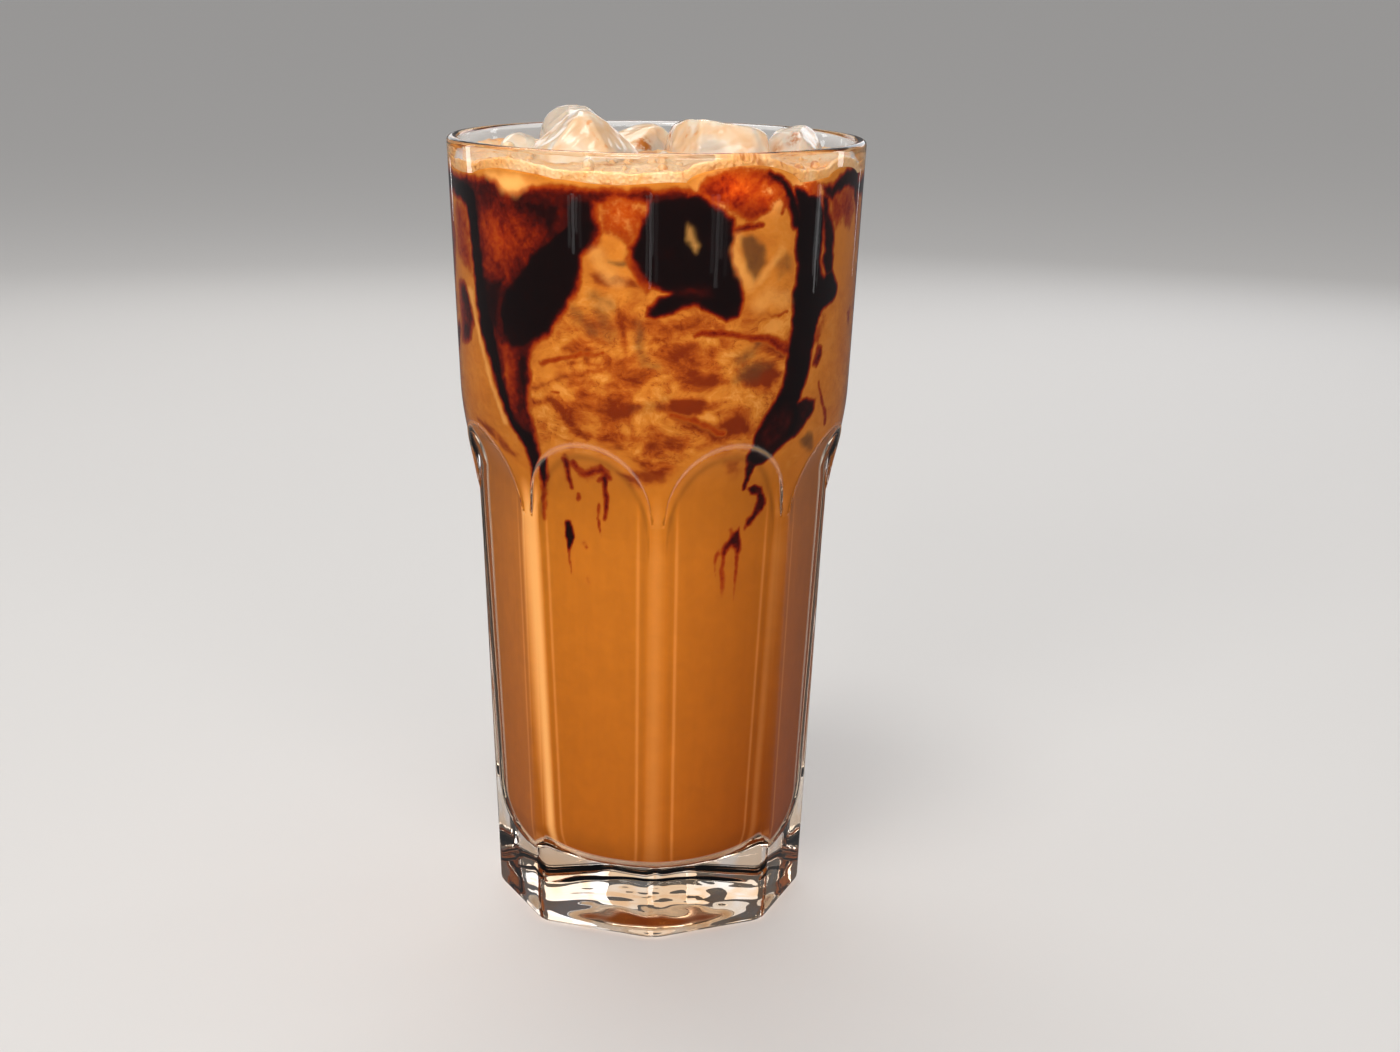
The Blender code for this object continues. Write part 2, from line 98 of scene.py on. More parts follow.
# Patches of the front, lower ones first.
POOLS: tuple[Pool, ...] = (
    # Amber at the left edge, then the left curtain with its amber window.
    Pool(0.4, 2.4, ((-76, 155), (-63, 154.4), (-61.6, 147), (-61, 141), (-66, 142), (-76, 144))),
    Pool(0.67, 1.5, ((-76, 160.6), (-60, 160.6), (-52, 160.9), (-46, 160.2), (-43, 158.6),
        (-39, 158.2), (-35, 159.8), (-28, 160.4), (-20, 160.2), (-14, 160.9), (-6, 160.6),
        (2, 160.8), (8, 160.6), (10, 158.6), (2, 157.2), (-3, 158.2), (-9, 159.2), (-14.6, 157.8),
        (-15.4, 155), (-14.6, 152), (-16, 149.4), (-19.6, 147.2), (-20.2, 143), (-21.8, 139.4),
        (-25, 135.8), (-30, 131), (-35, 128.4), (-37.2, 125), (-37.8, 119), (-37.6, 111),
        (-36.6, 108), (-37.4, 103.6), (-39, 99.4), (-40.2, 94), (-40.6, 91), (-41.3, 91),
        (-41.4, 98), (-41.8, 103.6), (-42.2, 107.2), (-46, 110.4), (-48.8, 115), (-51.8, 121),
        (-54.8, 126), (-57.2, 130), (-58.8, 134.6), (-59.6, 140), (-60, 146), (-60.8, 151.6),
        (-62.4, 154.8), (-66, 155.4), (-76, 156))),
    Pool(0.17, 3.0, ((-54.4, 155), (-47, 155.6), (-40, 154.6), (-33, 152.6), (-28.6, 150.6),
        (-33, 147.4), (-39, 143.2), (-44, 139.8), (-49, 139.4), (-53, 141),
        (-54.6, 146)), Zone.BARE),
    Pool(0.1, 2.4, ((-53, 152), (-48, 153), (-44, 150), (-46, 145), (-51, 143),
        (-53.6, 146)), Zone.BARE),
    Pool(0.22, 1.4, ((-48.6, 127.4), (-44, 127.6), (-42, 124), (-42.4, 117), (-43.6, 113),
        (-45.2, 114.6), (-47, 120)), Zone.BARE),
    Pool(0.16, 0.8, ((-46.2, 125), (-44.8, 124.6), (-44.6, 119), (-45, 116.6),
        (-46, 119)), Zone.BARE),
    Pool(0.8, 1.2, ((-41, 128), (-37.6, 126), (-38, 119), (-37.8, 111.4), (-39.6, 111.6),
        (-41, 117), (-41.6, 123))),
    Pool(1, 1.5, ((-22.6, 158.6), (-16.4, 158.4), (-16, 153), (-17.6, 149.8), (-20.2, 147.2),
        (-20.8, 143), (-22.6, 139.2), (-25.6, 135.8), (-30.4, 131.4), (-35, 129), (-39, 127.4),
        (-43, 127.2), (-46.6, 129.4), (-48.2, 133.4), (-46.6, 137.4), (-43, 140.4), (-38, 144),
        (-33.4, 147.6), (-28.6, 150.4), (-24.6, 153))),
    Pool(0.8, 2.2, ((-58, 142), (-50, 141), (-43, 143), (-46, 137), (-48, 128), (-52, 130),
        (-56, 136))),
    Pool(0.82, 2.6, ((-40, 157.4), (-33, 158.4), (-24, 158.8), (-24, 153), (-29, 151),
        (-34, 153.4), (-38, 155))),
    Pool(0.97, 1.0, ((-76, 159.4), (-66, 159.4), (-60, 159), (-56, 157.8), (-55.4, 152),
        (-55, 146), (-54, 140), (-51.8, 134), (-50, 128.6), (-48, 122.4), (-46, 117),
        (-43.4, 112), (-38.4, 110), (-37, 107.8), (-37.6, 104.4), (-39.2, 100.6), (-40.8, 98),
        (-41.4, 103), (-42, 107), (-45.6, 109.8), (-48.6, 114.6), (-51.8, 120.6), (-54.8, 125.6),
        (-57.2, 129.8), (-58.8, 134.4), (-59.8, 140), (-60.4, 146), (-61, 151.6), (-62.8, 155.2),
        (-67, 156), (-76, 156.6))),
    Pool(0.8, 1.4, ((-76, 138.6), (-67, 138.4), (-64, 136.2), (-62.4, 133.4), (-61.8, 130.6),
        (-64.6, 127.2), (-68, 125.6), (-76, 125))),
    Pool(0.26, 1.6, ((-72, 134), (-66, 133), (-65, 130), (-70, 129.4)), Zone.BARE),
    Pool(0.85, 0.6, ((-64.4, 137.8), (-61, 137.8), (-60.2, 133), (-57.4, 127.4), (-54.2, 121.4),
        (-51, 115.6), (-48, 111.2), (-49.4, 110.8), (-52.6, 116), (-55.6, 121.6), (-58.6, 127),
        (-61, 131), (-62.4, 134.4)), Zone.CREAM),
    # Amber patch, rust beside it, the black block and its lower lobe.
    Pool(0.3, 1.4, ((-15, 158.6), (-9.6, 159.8), (-5, 158.8), (-2.6, 155.4), (-3.6, 151.6),
        (-6.4, 149.4), (-9, 150.6), (-12, 151.6), (-14.4, 152.4))),
    Pool(0.42, 1.2, ((-3.4, 157.6), (-4.6, 151.4), (-6.6, 149.4), (-8, 147.4), (-7, 145),
        (-5, 142.6), (-2.4, 140), (-1, 141.6), (-3, 147), (-1.6, 153))),
    Pool(1, 1.1, ((-1.8, 158.4), (2, 159), (7, 159.4), (11.2, 159.4), (14, 157.6), (17.6, 156.4),
        (20.2, 154.6), (20.8, 151), (20.2, 147.6), (21.6, 144), (23.6, 141), (24.2, 138.4),
        (22.8, 135.6), (19.6, 134.9), (16, 136.2), (12, 137.8), (7, 137.6), (3, 136.2),
        (-0.4, 135), (-1.9, 135.6), (-1.4, 137.4), (1, 139.2), (4, 140.4), (1, 141.4),
        (-2, 142.4), (-4.4, 145), (-6.4, 147), (-5.8, 149.2), (-4.2, 151.4), (-2.8, 155))),
    Pool(0.3, 1.2, ((2, 140.4), (8, 141.2), (14, 140.9), (15, 139.9), (8, 139.8)), Zone.BARE),
    # The hump: red-orange dome, lighter on top, with a milky cell at its right.
    Pool(0.5, 1.2, ((10.6, 159.6), (11, 161.6), (13, 163), (17, 164.2), (22, 164.8), (28, 164.6),
        (33, 163), (36.6, 160.6), (38.8, 156.8), (39.6, 152.8), (37, 155), (33.6, 157.6),
        (30.6, 156.2), (27.4, 154.8), (24, 154.4), (20.6, 155.8), (17.4, 157.6), (14, 158.4))),
    Pool(0.18, 2.2, ((18.4, 161), (21, 163), (26, 162.8), (29, 161), (30, 158.6), (26, 157.4),
        (22, 158.6)), Zone.BARE),
    Pool(0.24, 1.6, ((28.6, 162.6), (32, 161.6), (35, 159.4), (37, 156.2), (37.4, 153.6),
        (34, 156), (30.6, 157.2), (28.6, 159.6)), Zone.BARE),
    # Right: the main stream, its lobe, the arc beyond it and the foot.
    Pool(0.34, 1.6, ((40.6, 161.8), (46.6, 161.6), (49, 160.8), (47, 158.4), (43, 158.6))),
    Pool(0.4, 2.0, ((53.6, 157.6), (57, 158.2), (61, 159.2), (66, 158.6), (68.6, 154),
        (66, 150.6), (61, 153), (57, 151.6), (55, 153.6))),
    Pool(1, 0.9, ((38.6, 160.6), (40, 157), (40.2, 152), (40, 148), (40.8, 144), (41, 141),
        (40.4, 137), (40.2, 131), (40, 126), (39.2, 122.4), (37.4, 119), (34.6, 116), (32.2, 113),
        (30.8, 110), (30.2, 107), (30.6, 105), (33, 104.2), (37, 104.8), (40, 106.6), (43, 108.4),
        (46, 110), (46.6, 113), (45.4, 116.8), (46.8, 119.4), (48.6, 123.4), (49.6, 128),
        (50.6, 131.6), (52.4, 134), (55, 135.4), (58, 136), (60.4, 138), (60.2, 139.8),
        (58, 141.6), (56.4, 143), (54.4, 142), (52.6, 141.4), (51, 142.6), (50.4, 146),
        (50.6, 150), (50.2, 155), (48.4, 158.4), (44, 158.6), (41.6, 160.2))),
    Pool(0.2, 1.8, ((31, 110), (35, 114), (40, 115.6), (45, 113), (42, 109),
        (35, 106)), Zone.BARE),
    Pool(0.9, 0.9, ((50, 158.6), (52.4, 158.2), (53, 155), (54.6, 153), (56, 150), (56.8, 146),
        (56.6, 142.6), (54, 142), (51.6, 144.8), (52.6, 147.6), (51.4, 150), (50, 154))),
    Pool(0.88, 1.0, ((49.4, 160.8), (54, 160.4), (57, 161.6), (61, 162.8), (66, 163), (72, 162.4),
        (77, 160), (80, 150), (78, 140), (75, 141), (72.6, 148), (70.4, 155), (67, 158.6),
        (61, 159.6), (57, 158.8), (54, 157.6), (51, 158.6))),
    Pool(0.86, 0.8, ((45, 116.8), (49, 117), (52.6, 116.2), (53.2, 114.2), (51.6, 112.4),
        (48.8, 110.8), (46, 109.4), (43, 110))),
    # Painted shadow: a grey-brown triangle at the lobe's foot, in the colour of ice behind the
    # wall.
    Pool(0.85, 0.8, ((49.4, 108.4), (52.4, 109.6), (55.6, 109), (57.6, 106.2), (57, 104.6),
        (53.6, 106)), Zone.ICE),
    Pool(0.85, 0.6, ((30.4, 105.4), (34, 104.6), (33.2, 102), (32.4, 98.4), (31.6, 98.2),
        (31, 101.8))),
    Pool(0.62, 0.7, ((50.2, 123.8), (50.8, 126.2), (52, 127.6), (54.4, 127), (54.2, 124.8),
        (52, 122.6))),
    Pool(0.28, 1.8, ((49.6, 128.4), (50.6, 131.6), (54, 134.4), (56, 133), (54, 130.4),
        (51.6, 127.8))),
    Pool(0.78, 0.6, ((33.6, 98.4), (36, 99.1), (39.6, 98.7), (41, 97), (42, 95.4), (43, 95.2),
        (41.6, 93.2), (39, 92.4), (36, 90.8), (33.4, 89.8), (34, 91.4), (37, 93.6), (38.8, 95.4),
        (38.4, 96.8), (35.8, 97.2))),
    Pool(0.72, 0.7, ((31, 90), (32, 87.4), (32.8, 85), (31, 84.4), (28.6, 85.8), (26, 84.6),
        (23.6, 85.2), (26, 87), (28.6, 88.8))),
    Pool(0.9, 1.0, ((70.6, 132.4), (73, 134.2), (77, 133.6), (79, 131.6), (77, 129.6),
        (73.4, 129.2))),
    # Milk, ice facets and stains behind the wall.
    Pool(0.62, 0.7, ((8.4, 153.9), (9.8, 153.4), (10.6, 151.4), (11.2, 149.8), (10.4, 148.6),
        (9.4, 149.8), (8.6, 151.4)), Zone.CREAM),
    Pool(0.9, 1.6, ((-50, 161.6), (-46, 161.2), (-44, 158.9), (-40, 158.4), (-36, 160.4),
        (-38, 161.8)), Zone.CREAM),
    Pool(0.9, 0.8, ((22.6, 151.4), (26, 151.6), (29.4, 149.2), (30, 145.4), (27, 141.8),
        (24.6, 144), (23.4, 148)), Zone.ICE),
    Pool(0.5, 0.9, ((33, 146), (36.6, 147.8), (38.8, 147), (38.8, 143.6), (35, 142.2)), Zone.ICE),
    Pool(0.62, 1.3, ((-24, 138.6), (-19, 136.4), (-14.6, 131.4), (-18, 131.6),
        (-22, 134.2)), Zone.ICE),
    Pool(0.7, 1.2, ((22, 122), (25, 125.6), (30, 126), (35, 124.8), (31, 122.2),
        (27, 121.4)), Zone.ICE),
    Pool(1, 1.0, ((-26, 128.4), (-24, 129.8), (-20.5, 130.2), (-17.6, 128.6), (-18.2, 125.4),
        (-21, 126.8)), Zone.STAIN),
    Pool(1, 1.6, ((-13, 126.2), (-8, 127.6), (-4, 125.8), (-1.2, 124), (-5, 121.8), (-10, 120.8),
        (-15, 120.2), (-12, 123)), Zone.STAIN),
    Pool(1, 0.9, ((-36.4, 116.4), (-36, 117.4), (-31, 118.2), (-27.4, 117.6), (-24.6, 115),
        (-21.6, 112.4), (-18, 110.6), (-20, 109.8), (-24, 111.4), (-27.4, 114.4),
        (-30, 116.6)), Zone.STAIN),
    Pool(0.85, 1.8, ((-20, 119.8), (-12, 119.6), (-5, 117.8), (-7, 115.2), (-14, 114),
        (-20, 114.4), (-25, 112.6), (-27, 115.6), (-23, 117.6)), Zone.STAIN),
    Pool(0.65, 1.8, ((-2, 134.2), (4, 135.2), (12, 135), (17, 133.2), (10, 132.2), (4, 130.8),
        (-1, 130.4)), Zone.STAIN),
    Pool(0.8, 1.6, ((2, 130.2), (9, 130.4), (16, 129), (18, 127), (12, 125.6), (5, 126.2),
        (1, 128)), Zone.STAIN),
    Pool(1, 0.9, ((0.6, 117.2), (5, 118.8), (12, 119), (18.6, 117.6), (14, 116), (7, 115.9),
        (2, 116.3)), Zone.STAIN),
    Pool(0.9, 1.2, ((4, 115.6), (10, 115.2), (15, 113.6), (19, 113.6), (24, 115), (28, 113.4),
        (29, 111.4), (24, 110.4), (18, 110.6), (12, 112.6), (7, 113.8)), Zone.STAIN),
    Pool(0.95, 1.4, ((25, 123.4), (29, 125.4), (35, 125.2), (38.6, 123), (34, 120.6),
        (28, 120.8)), Zone.STAIN),
    Pool(0.8, 1.4, ((5, 122.8), (10, 124.4), (16, 124), (20, 121.8), (14, 120.6),
        (8, 121.2)), Zone.STAIN),
    Pool(0.8, 1.4, ((28, 131), (34, 130.4), (39, 129), (39, 126), (33, 127.4),
        (28, 128.8)), Zone.STAIN),
    Pool(0.85, 1.2, ((-10, 103.4), (-4, 104.4), (4, 104.2), (3, 101.4), (-6, 100.8)), Zone.STAIN),
    Pool(0.75, 1.4, ((-16, 112), (-10, 112.4), (-6, 110.8), (-10, 108.8),
        (-17, 109)), Zone.STAIN),
    Pool(0.7, 1.4, ((-2, 110.6), (4, 111), (8, 109.4), (3, 107.4), (-3, 107.6)), Zone.STAIN),
    Pool(0.85, 1.2, ((-18, 143.6), (-10, 144.4), (-4, 142.6), (-3, 140.4), (-9, 141.2),
        (-16, 141.6)), Zone.STAIN),
    Pool(0.7, 1.2, ((-26, 104.8), (-22, 103.6), (-18, 105.2), (-13.6, 103), (-14.6, 101.6),
        (-18, 101.8), (-22, 100.2), (-25, 101)), Zone.STAIN),
    Pool(0.8, 0.9, ((-66, 110.2), (-60, 110.2), (-54, 108.4), (-49, 106.6), (-45.6, 104.8),
        (-48, 104), (-54, 105.4), (-60, 107.4), (-66, 108.8)), Zone.STAIN),
    Pool(0.6, 1.6, ((23, 105.4), (27.6, 105.6), (28.6, 103), (26, 101.4),
        (23.4, 102.8)), Zone.STAIN),
)

# Lines of the front, painted over the pools.
STROKES: tuple[Stroke, ...] = (
    # Dark rim of the hump, threads at its foot and the fine drips under the right arch.
    Stroke(0.94, 0.9, ((29.6, 163.8, 0.4), (34.6, 161.6, 0.7), (38.2, 158.2, 1.1),
        (40, 153.4, 1.2))),
    Stroke(0.62, 0.8, ((20.8, 152.4, 0.5), (24, 153.2, 0.6), (28.6, 153.4, 0.4))),
    Stroke(0.46, 0.6, ((30.6, 158.4, 0.3), (33.6, 159.6, 0.35), (36, 157.6, 0.3),
        (34.6, 155.6, 0.3))),
    Stroke(0.4, 0.7, ((-50, 155.4, 0.7), (-46, 153.2, 0.9), (-44.4, 149, 0.6))),
    Stroke(0.3, 0.6, ((-36, 152, 0.5), (-38, 148, 0.7), (-41, 144.6, 0.5))),
    Stroke(0.4, 0.7, ((27.6, 89.4, 0.5), (29.6, 88, 0.7))),
    Stroke(0.42, 0.5, ((25.6, 84, 0.6), (25.2, 80.6, 0.5), (25.6, 77, 0.2))),
    Stroke(0.42, 0.45, ((30.6, 84.4, 0.5), (30.6, 76.4, 0.25))),
    Stroke(0.34, 0.5, ((23.2, 85.4, 0.5), (22.2, 82.6, 0.3), (22.2, 80.6, 0.2))),
    Stroke(0.5, 0.5, ((54, 119.4, 0.35), (56.4, 115.6, 0.45), (59.6, 113, 0.5),
        (62, 110.6, 0.4))),
    Stroke(0.55, 0.9, ((-44, 110, 0.8), (-41, 109.2, 0.8))),
    # Loose threads in the marbled part and small drips under the left arch.
    Stroke(0.52, 0.8, ((11, 131.8, 0.4), (18, 132, 0.7), (25, 131.4, 0.5), (33, 130.2, 0.9),
        (39.4, 128.2, 1.3))),
    Stroke(0.3, 0.5, ((24, 134.4, 0.3), (31, 135, 0.3), (38, 135.2, 0.35))),
    Stroke(0.42, 0.8, ((5, 115.6, 0.4), (11, 114.6, 0.7), (17, 112.6, 0.5), (20.4, 111.6, 0.3))),
    Stroke(0.4, 0.8, ((-33, 124.6, 0.4), (-28, 125.8, 0.5), (-21, 127.4, 0.4), (-14, 128, 0.3))),
    Stroke(0.34, 0.4, ((-27.6, 119, 0.25), (-30, 119.6, 0.2))),
    Stroke(0.66, 0.7, ((-29, 105.4, 0.8), (-28.6, 102.4, 0.55), (-28.4, 98.6, 0.25))),
    Stroke(0.5, 0.9, ((-26, 104.6, 0.8), (-23.4, 102.2, 1), (-20, 103.2, 0.9), (-16.6, 103.8, 1),
        (-14.2, 102, 0.8), (-18, 100.8, 0.5))),
    Stroke(0.58, 0.5, ((-16, 101.4, 0.6), (-16, 96.6, 0.6), (-15.7, 92.6, 0.3))),
    Stroke(0.42, 0.4, ((-18.4, 95.4, 0.3), (-18.2, 89.4, 0.25))),
    Stroke(0.95, 0.4, ((-31, 90.8, 0.45), (-30.3, 88.2, 1.05), (-30.4, 85.8, 0.4))),
    Stroke(0.34, 0.4, ((-30.4, 86, 0.35), (-30.1, 79.6, 0.15))),
    Stroke(0.52, 0.5, ((-26.2, 96.8, 0.55), (-26.3, 96.2, 0.55))),
    Stroke(0.24, 0.6, ((-24.4, 87.2, 0.4), (-23.4, 86.2, 0.4))),
    Stroke(0.16, 0.6, ((-23.2, 79.6, 0.45), (-22.8, 78.6, 0.45))),
    # Cream over the syrup.
    Stroke(0.6, 1.0, ((22, 151.4, 0.5), (21.6, 148.4, 0.8), (23.2, 144.4, 0.9),
        (26.4, 141.4, 1.1)), Zone.CREAM),
    Stroke(0.55, 0.9, ((28.6, 142.2, 0.7), (32, 145.4, 0.6), (35.4, 148.2, 0.6)), Zone.CREAM),
    Stroke(0.5, 1.2, ((-15.4, 148, 1.2), (-13.6, 145, 1.3), (-10, 142.6, 1.2)), Zone.CREAM),
    Stroke(0.45, 1.4, ((37.4, 138, 1.6), (32, 139.2, 1.6), (29, 137.6, 1.4)), Zone.CREAM),
    # Ice just behind the wall.
    Stroke(0.7, 1.4, ((-16.4, 139.4, 0.8), (-13.6, 138.6, 1), (-11.4, 137.4, 0.6)), Zone.ICE),
    Stroke(0.42, 1.6, ((-15, 136.6, 1.6), (-12.4, 132, 1.6)), Zone.ICE),
    Stroke(0.66, 1.2, ((-4.2, 134.2, 0.7), (-4.4, 129.8, 0.8), (-2.2, 126.6, 0.9),
        (1, 125.6, 0.5)), Zone.ICE),
    Stroke(0.7, 1.3, ((23.6, 126.6, 1), (26.8, 127.8, 1.2), (29.4, 129.8, 0.8)), Zone.ICE),
    Stroke(0.4, 1.2, ((-5.4, 117, 0.7), (0.6, 117.6, 0.8), (3.4, 119.2, 0.4)), Zone.ICE),
    Stroke(0.92, 0.6, ((-12.2, 146.4, 0.3), (-9.6, 146.2, 0.55), (-7, 146.5, 0.4)), Zone.ICE),
    # Thin brown veins in the marbled part.
    Stroke(0.9, 0.7, ((-36.4, 119.6, 0.2), (-30, 121.6, 0.35), (-24, 122.6, 0.3),
        (-18, 124.2, 0.4), (-13, 125, 0.3)), Zone.STAIN),
    Stroke(0.8, 0.7, ((-26, 124.8, 0.2), (-21, 126, 0.4), (-15, 125.4, 0.3)), Zone.STAIN),
    Stroke(0.8, 0.7, ((-6, 106.2, 0.3), (-1, 105.6, 0.4), (4, 105.2, 0.2)), Zone.STAIN),
    Stroke(0.8, 0.8, ((-10, 139, 0.3), (-8.6, 134, 0.5), (-8.4, 129, 0.4)), Zone.STAIN),
    Stroke(0.8, 0.8, ((-29, 107, 0.6), (-28.6, 103.4, 0.5), (-29.4, 100.6, 0.3)), Zone.STAIN),
)

# Streams and the dark upper band at the two sides, between the front's and the back's.
SIDE_STROKES: tuple[Stroke, ...] = (
    Stroke(0.9, 1.3, ((66, 159.6, 1), (76, 158.6, 1.8), (86, 159, 1.4), (95, 157.6, 2.4),
        (106, 158.6, 1.6))),
    Stroke(0.52, 1.8, ((88, 154, 3), (90, 146, 3.2), (92, 137, 2))),
    Stroke(0.96, 1.0, ((82, 157, 2.2), (84.6, 150, 2.6), (83.4, 141, 1.8), (86.4, 132, 2.4),
        (85.2, 123, 1.5), (87.4, 115, 0.6))),
    Stroke(0.84, 0.9, ((96, 152, 1), (97.6, 145, 1.6), (95.4, 138.6, 0.8))),
    Stroke(0.6, 0.8, ((90, 126, 0.5), (94, 122, 0.9), (97, 120.6, 0.4))),
    Stroke(0.9, 1.3, ((-64, 158.6, 1.4), (-75, 158.8, 1.8), (-87, 158.2, 2.2), (-99, 159, 1.5),
        (-107, 158.4, 1.8))),
    Stroke(0.48, 1.8, ((-79, 155, 2.4), (-78, 147, 3.2), (-80.6, 139, 1.8))),
    Stroke(0.96, 1.0, ((-90, 157, 2.4), (-87.4, 149, 2.8), (-90.6, 140, 1.8), (-88.4, 130, 1.2),
        (-90, 122, 0.5))),
    Stroke(0.86, 0.9, ((-99, 153, 1), (-97.4, 145, 1.7), (-99.6, 138, 0.7))),
    Stroke(0.7, 1.2, ((-76, 128, 1.2), (-80, 125, 1.8), (-83, 126, 0.8))),
)


def smooth(share: np.ndarray | float) -> np.ndarray | float:
    """Share from 0 to 1, eased at both ends."""
    return share * share * (3 - 2 * share)


def bell(values: np.ndarray, middle: float, width: float) -> np.ndarray:
    """Bell curve that is 1 at its middle."""
    return np.exp(-((values - middle) / width) ** 2)


def climb(values: np.ndarray, start: float, span: float, least: float = 0.0) -> np.ndarray:
    """Share of the way from a start over a span, which is below 0 for a way down."""
    return np.clip((values - start) / span, least, 1)


@dataclass(frozen=True)
class GlassForm:
    """Named sizes of the glass and its hollow, in metres, and the surfaces they give."""

    rim: float = 88.19 * MM
    height: float = 167.3 * MM
    foot: float = 67.0 * MM
    waist: float = 74.9 * MM
    waist_height: float = 88.0 * MM
    breast: float = 83.2 * MM
    breast_height: float = 115.0 * MM
    lip: float = 1.1 * MM
    heel: float = 1.8 * MM
    sides: int = 8
    ridge_turn: float = math.radians(1.5)
    panel_half: float = math.radians(20.5)
    arch_foot: float = 92.0 * MM
    arch_rise: float = 16.5 * MM
    scoop: float = 11.0 * MM
    rim_wall: float = 2.3 * MM
    breast_wall: float = 2.9 * MM
    hollow_waist: float = 32.3 * MM
    hollow_waist_height: float = 94.0 * MM
    hollow_breast_height: float = 119.0 * MM
    floor: float = 12.8 * MM
    floor_corner: float = 10.0 * MM
    floor_top: float = 27.2 * MM
    edge_round: float = 0.16 * MM
    bead: float = 0.30 * MM
    bead_width: float = 0.60 * MM
    punt: float = 1.9 * MM
    punt_radius: float = 25.0 * MM
    waves: float = 0.10 * MM

    @staticmethod
    def blend(low: float, high: float, low_slope: float, high_slope: float, span: float,
              share: float) -> float:
        """Cubic between two radii with a set slope at both ends.

        Args:
            low: Radius at the start.
            high: Radius at the end.
            low_slope: Slope at the start.
            high_slope: Slope at the end.
            span: Height between the two.
            share: Place between them, from 0 to 1.

        Returns:
            The radius there.
        """
        two, three = share * share, share ** 3
        return ((2 * three - 3 * two + 1) * low + (three - 2 * two + share) * span * low_slope
                + (3 * two - 2 * three) * high + (three - two) * span * high_slope)

    def lower(self, height: float) -> float:
        """Radius of the tapered lower body at the ridges."""
        return self.foot / 2 + (self.waist - self.foot) / 2 / self.waist_height * height

    def body(self, height: float) -> float:
        """Radius of the round body that the panels are pressed into.

        Args:
            height: Height above the table.

        Returns:
            The radius.
        """
        low_slope = (self.waist - self.foot) / 2 / self.waist_height
        high_slope = (self.rim - self.breast) / 2 / (self.height - self.breast_height)
        if height <= self.waist_height:
            return self.lower(height)
        if height >= self.breast_height:
            return self.breast / 2 + high_slope * (height - self.breast_height)
        span = self.breast_height - self.waist_height
        return self.blend(self.waist / 2, self.breast / 2, low_slope, high_slope, span,
                          (height - self.waist_height) / span)

    def hollow(self, height: float) -> float:
        """Radius of the hollow above its rounded bottom corner.

        Args:
            height: Height above the table.

        Returns:
            The radius.
        """
        top = self.rim / 2 - self.rim_wall
        breast = self.body(self.hollow_breast_height) - self.breast_wall
        corner = self.floor + self.floor_corner
        low_slope = (self.hollow_waist - self.floor_top) / (self.hollow_waist_height - corner)
        high_slope = (top - breast) / (self.height - self.hollow_breast_height)
        if height <= self.hollow_waist_height:
            return self.floor_top + low_slope * (height - corner)
        if height >= self.hollow_breast_height:
            return breast + high_slope * (height - self.hollow_breast_height)
        span = self.hollow_breast_height - self.hollow_waist_height
        return self.blend(self.hollow_waist, breast, low_slope, high_slope, span,
                          (height - self.hollow_waist_height) / span)

    def arch(self, offset: float) -> float:
        """Height of the arch over a panel at an angle off its middle."""
        share = min(1.0, abs(offset) / self.panel_half)
        return self.arch_foot + self.arch_rise * math.sqrt(max(0.0, 1 - share * share))

    def scoop_length(self, offset: float) -> float:
        """Height of the scoop under the arch at an angle off the panel's middle."""
        rise = self.arch(offset) - self.arch_foot
        return self.scoop * (rise + 1.0 * MM) / (self.arch_rise + 1.0 * MM)

    def outer(self, offset: float, height: float) -> float:
        """Outer radius with the panel's edges softly rounded.

        Args:
            offset: Angle off the middle of the panel.
            height: Height above the table.

        Returns:
            The radius of the outside.
        """
        top = self.arch(offset)
        length = self.scoop_length(offset)
        flat = self.lower(height) * math.cos(self.panel_half) / math.cos(offset)
        if height > top - length:
            share = (height - top + length) / length
            edge = self.lower(top) * math.cos(self.panel_half) / math.cos(offset)
            flat += max(0.4 * MM, self.body(top) - edge) * share * share
        body = self.body(height)
        bead = self.bead * math.exp(-((height - top - 0.1 * MM) / self.bead_width) ** 2)
        if abs(offset) >= self.panel_half:
            bead = 0.0
        gap = (flat - body) / self.edge_round
        if gap > 30:
            return body + bead
        if gap < -30:
            return flat + bead
        return body - self.edge_round * math.log1p(math.exp(-gap)) + bead


def spun_grid(rows: int, columns: int) -> bmesh.types.BMesh:
    """Tube of rows and columns, ready to be given its shape.

    Args:
        rows: Number of rows; row k lies at height k.
        columns: Number of columns round the axis.

    Returns:
        A bmesh spun from one straight profile.
    """
    mesh = bmesh.new()
    spots = [mesh.verts.new((1.0, 0.0, float(row))) for row in range(rows)]
    edges = [mesh.edges.new(pair) for pair in zip(spots, spots[1:])]
    bmesh.ops.spin(mesh, geom=spots + edges, cent=(0, 0, 0), axis=(0, 0, 1),
                   angle=2 * math.pi, steps=columns, use_merge=True, use_duplicate=False)
    return mesh


def grid_place(spot: bmesh.types.BMVert, columns: int) -> tuple[int, int]:
    """Row and column of a vertex of a spun grid."""
    turn = math.atan2(spot.co.y, spot.co.x) % (2 * math.pi)
    return round(spot.co.z), round(turn / (2 * math.pi) * columns) % columns


def settle(mesh: bmesh.types.BMesh, name: str) -> bpy.types.Object:
    """Object from a bmesh, smooth, with its doubles merged and faces outwards.

    Args:
        mesh: The finished bmesh, freed here.
        name: Name of the piece.

    Returns:
        The new object, riding on the part.
    """
    bmesh.ops.remove_doubles(mesh, verts=mesh.verts, dist=1e-7)
    bmesh.ops.recalc_face_normals(mesh, faces=mesh.faces)
    for face in mesh.faces:
        face.smooth = True
    data = bpy.data.meshes.new(name)
    mesh.to_mesh(data)
    mesh.free()
    piece = bpy.data.objects.new(name, data)
    bpy.context.scene.collection.objects.link(piece)
    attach(piece, "root")
    LOG.info("%s: %d vertices", name, len(data.vertices))
    return piece


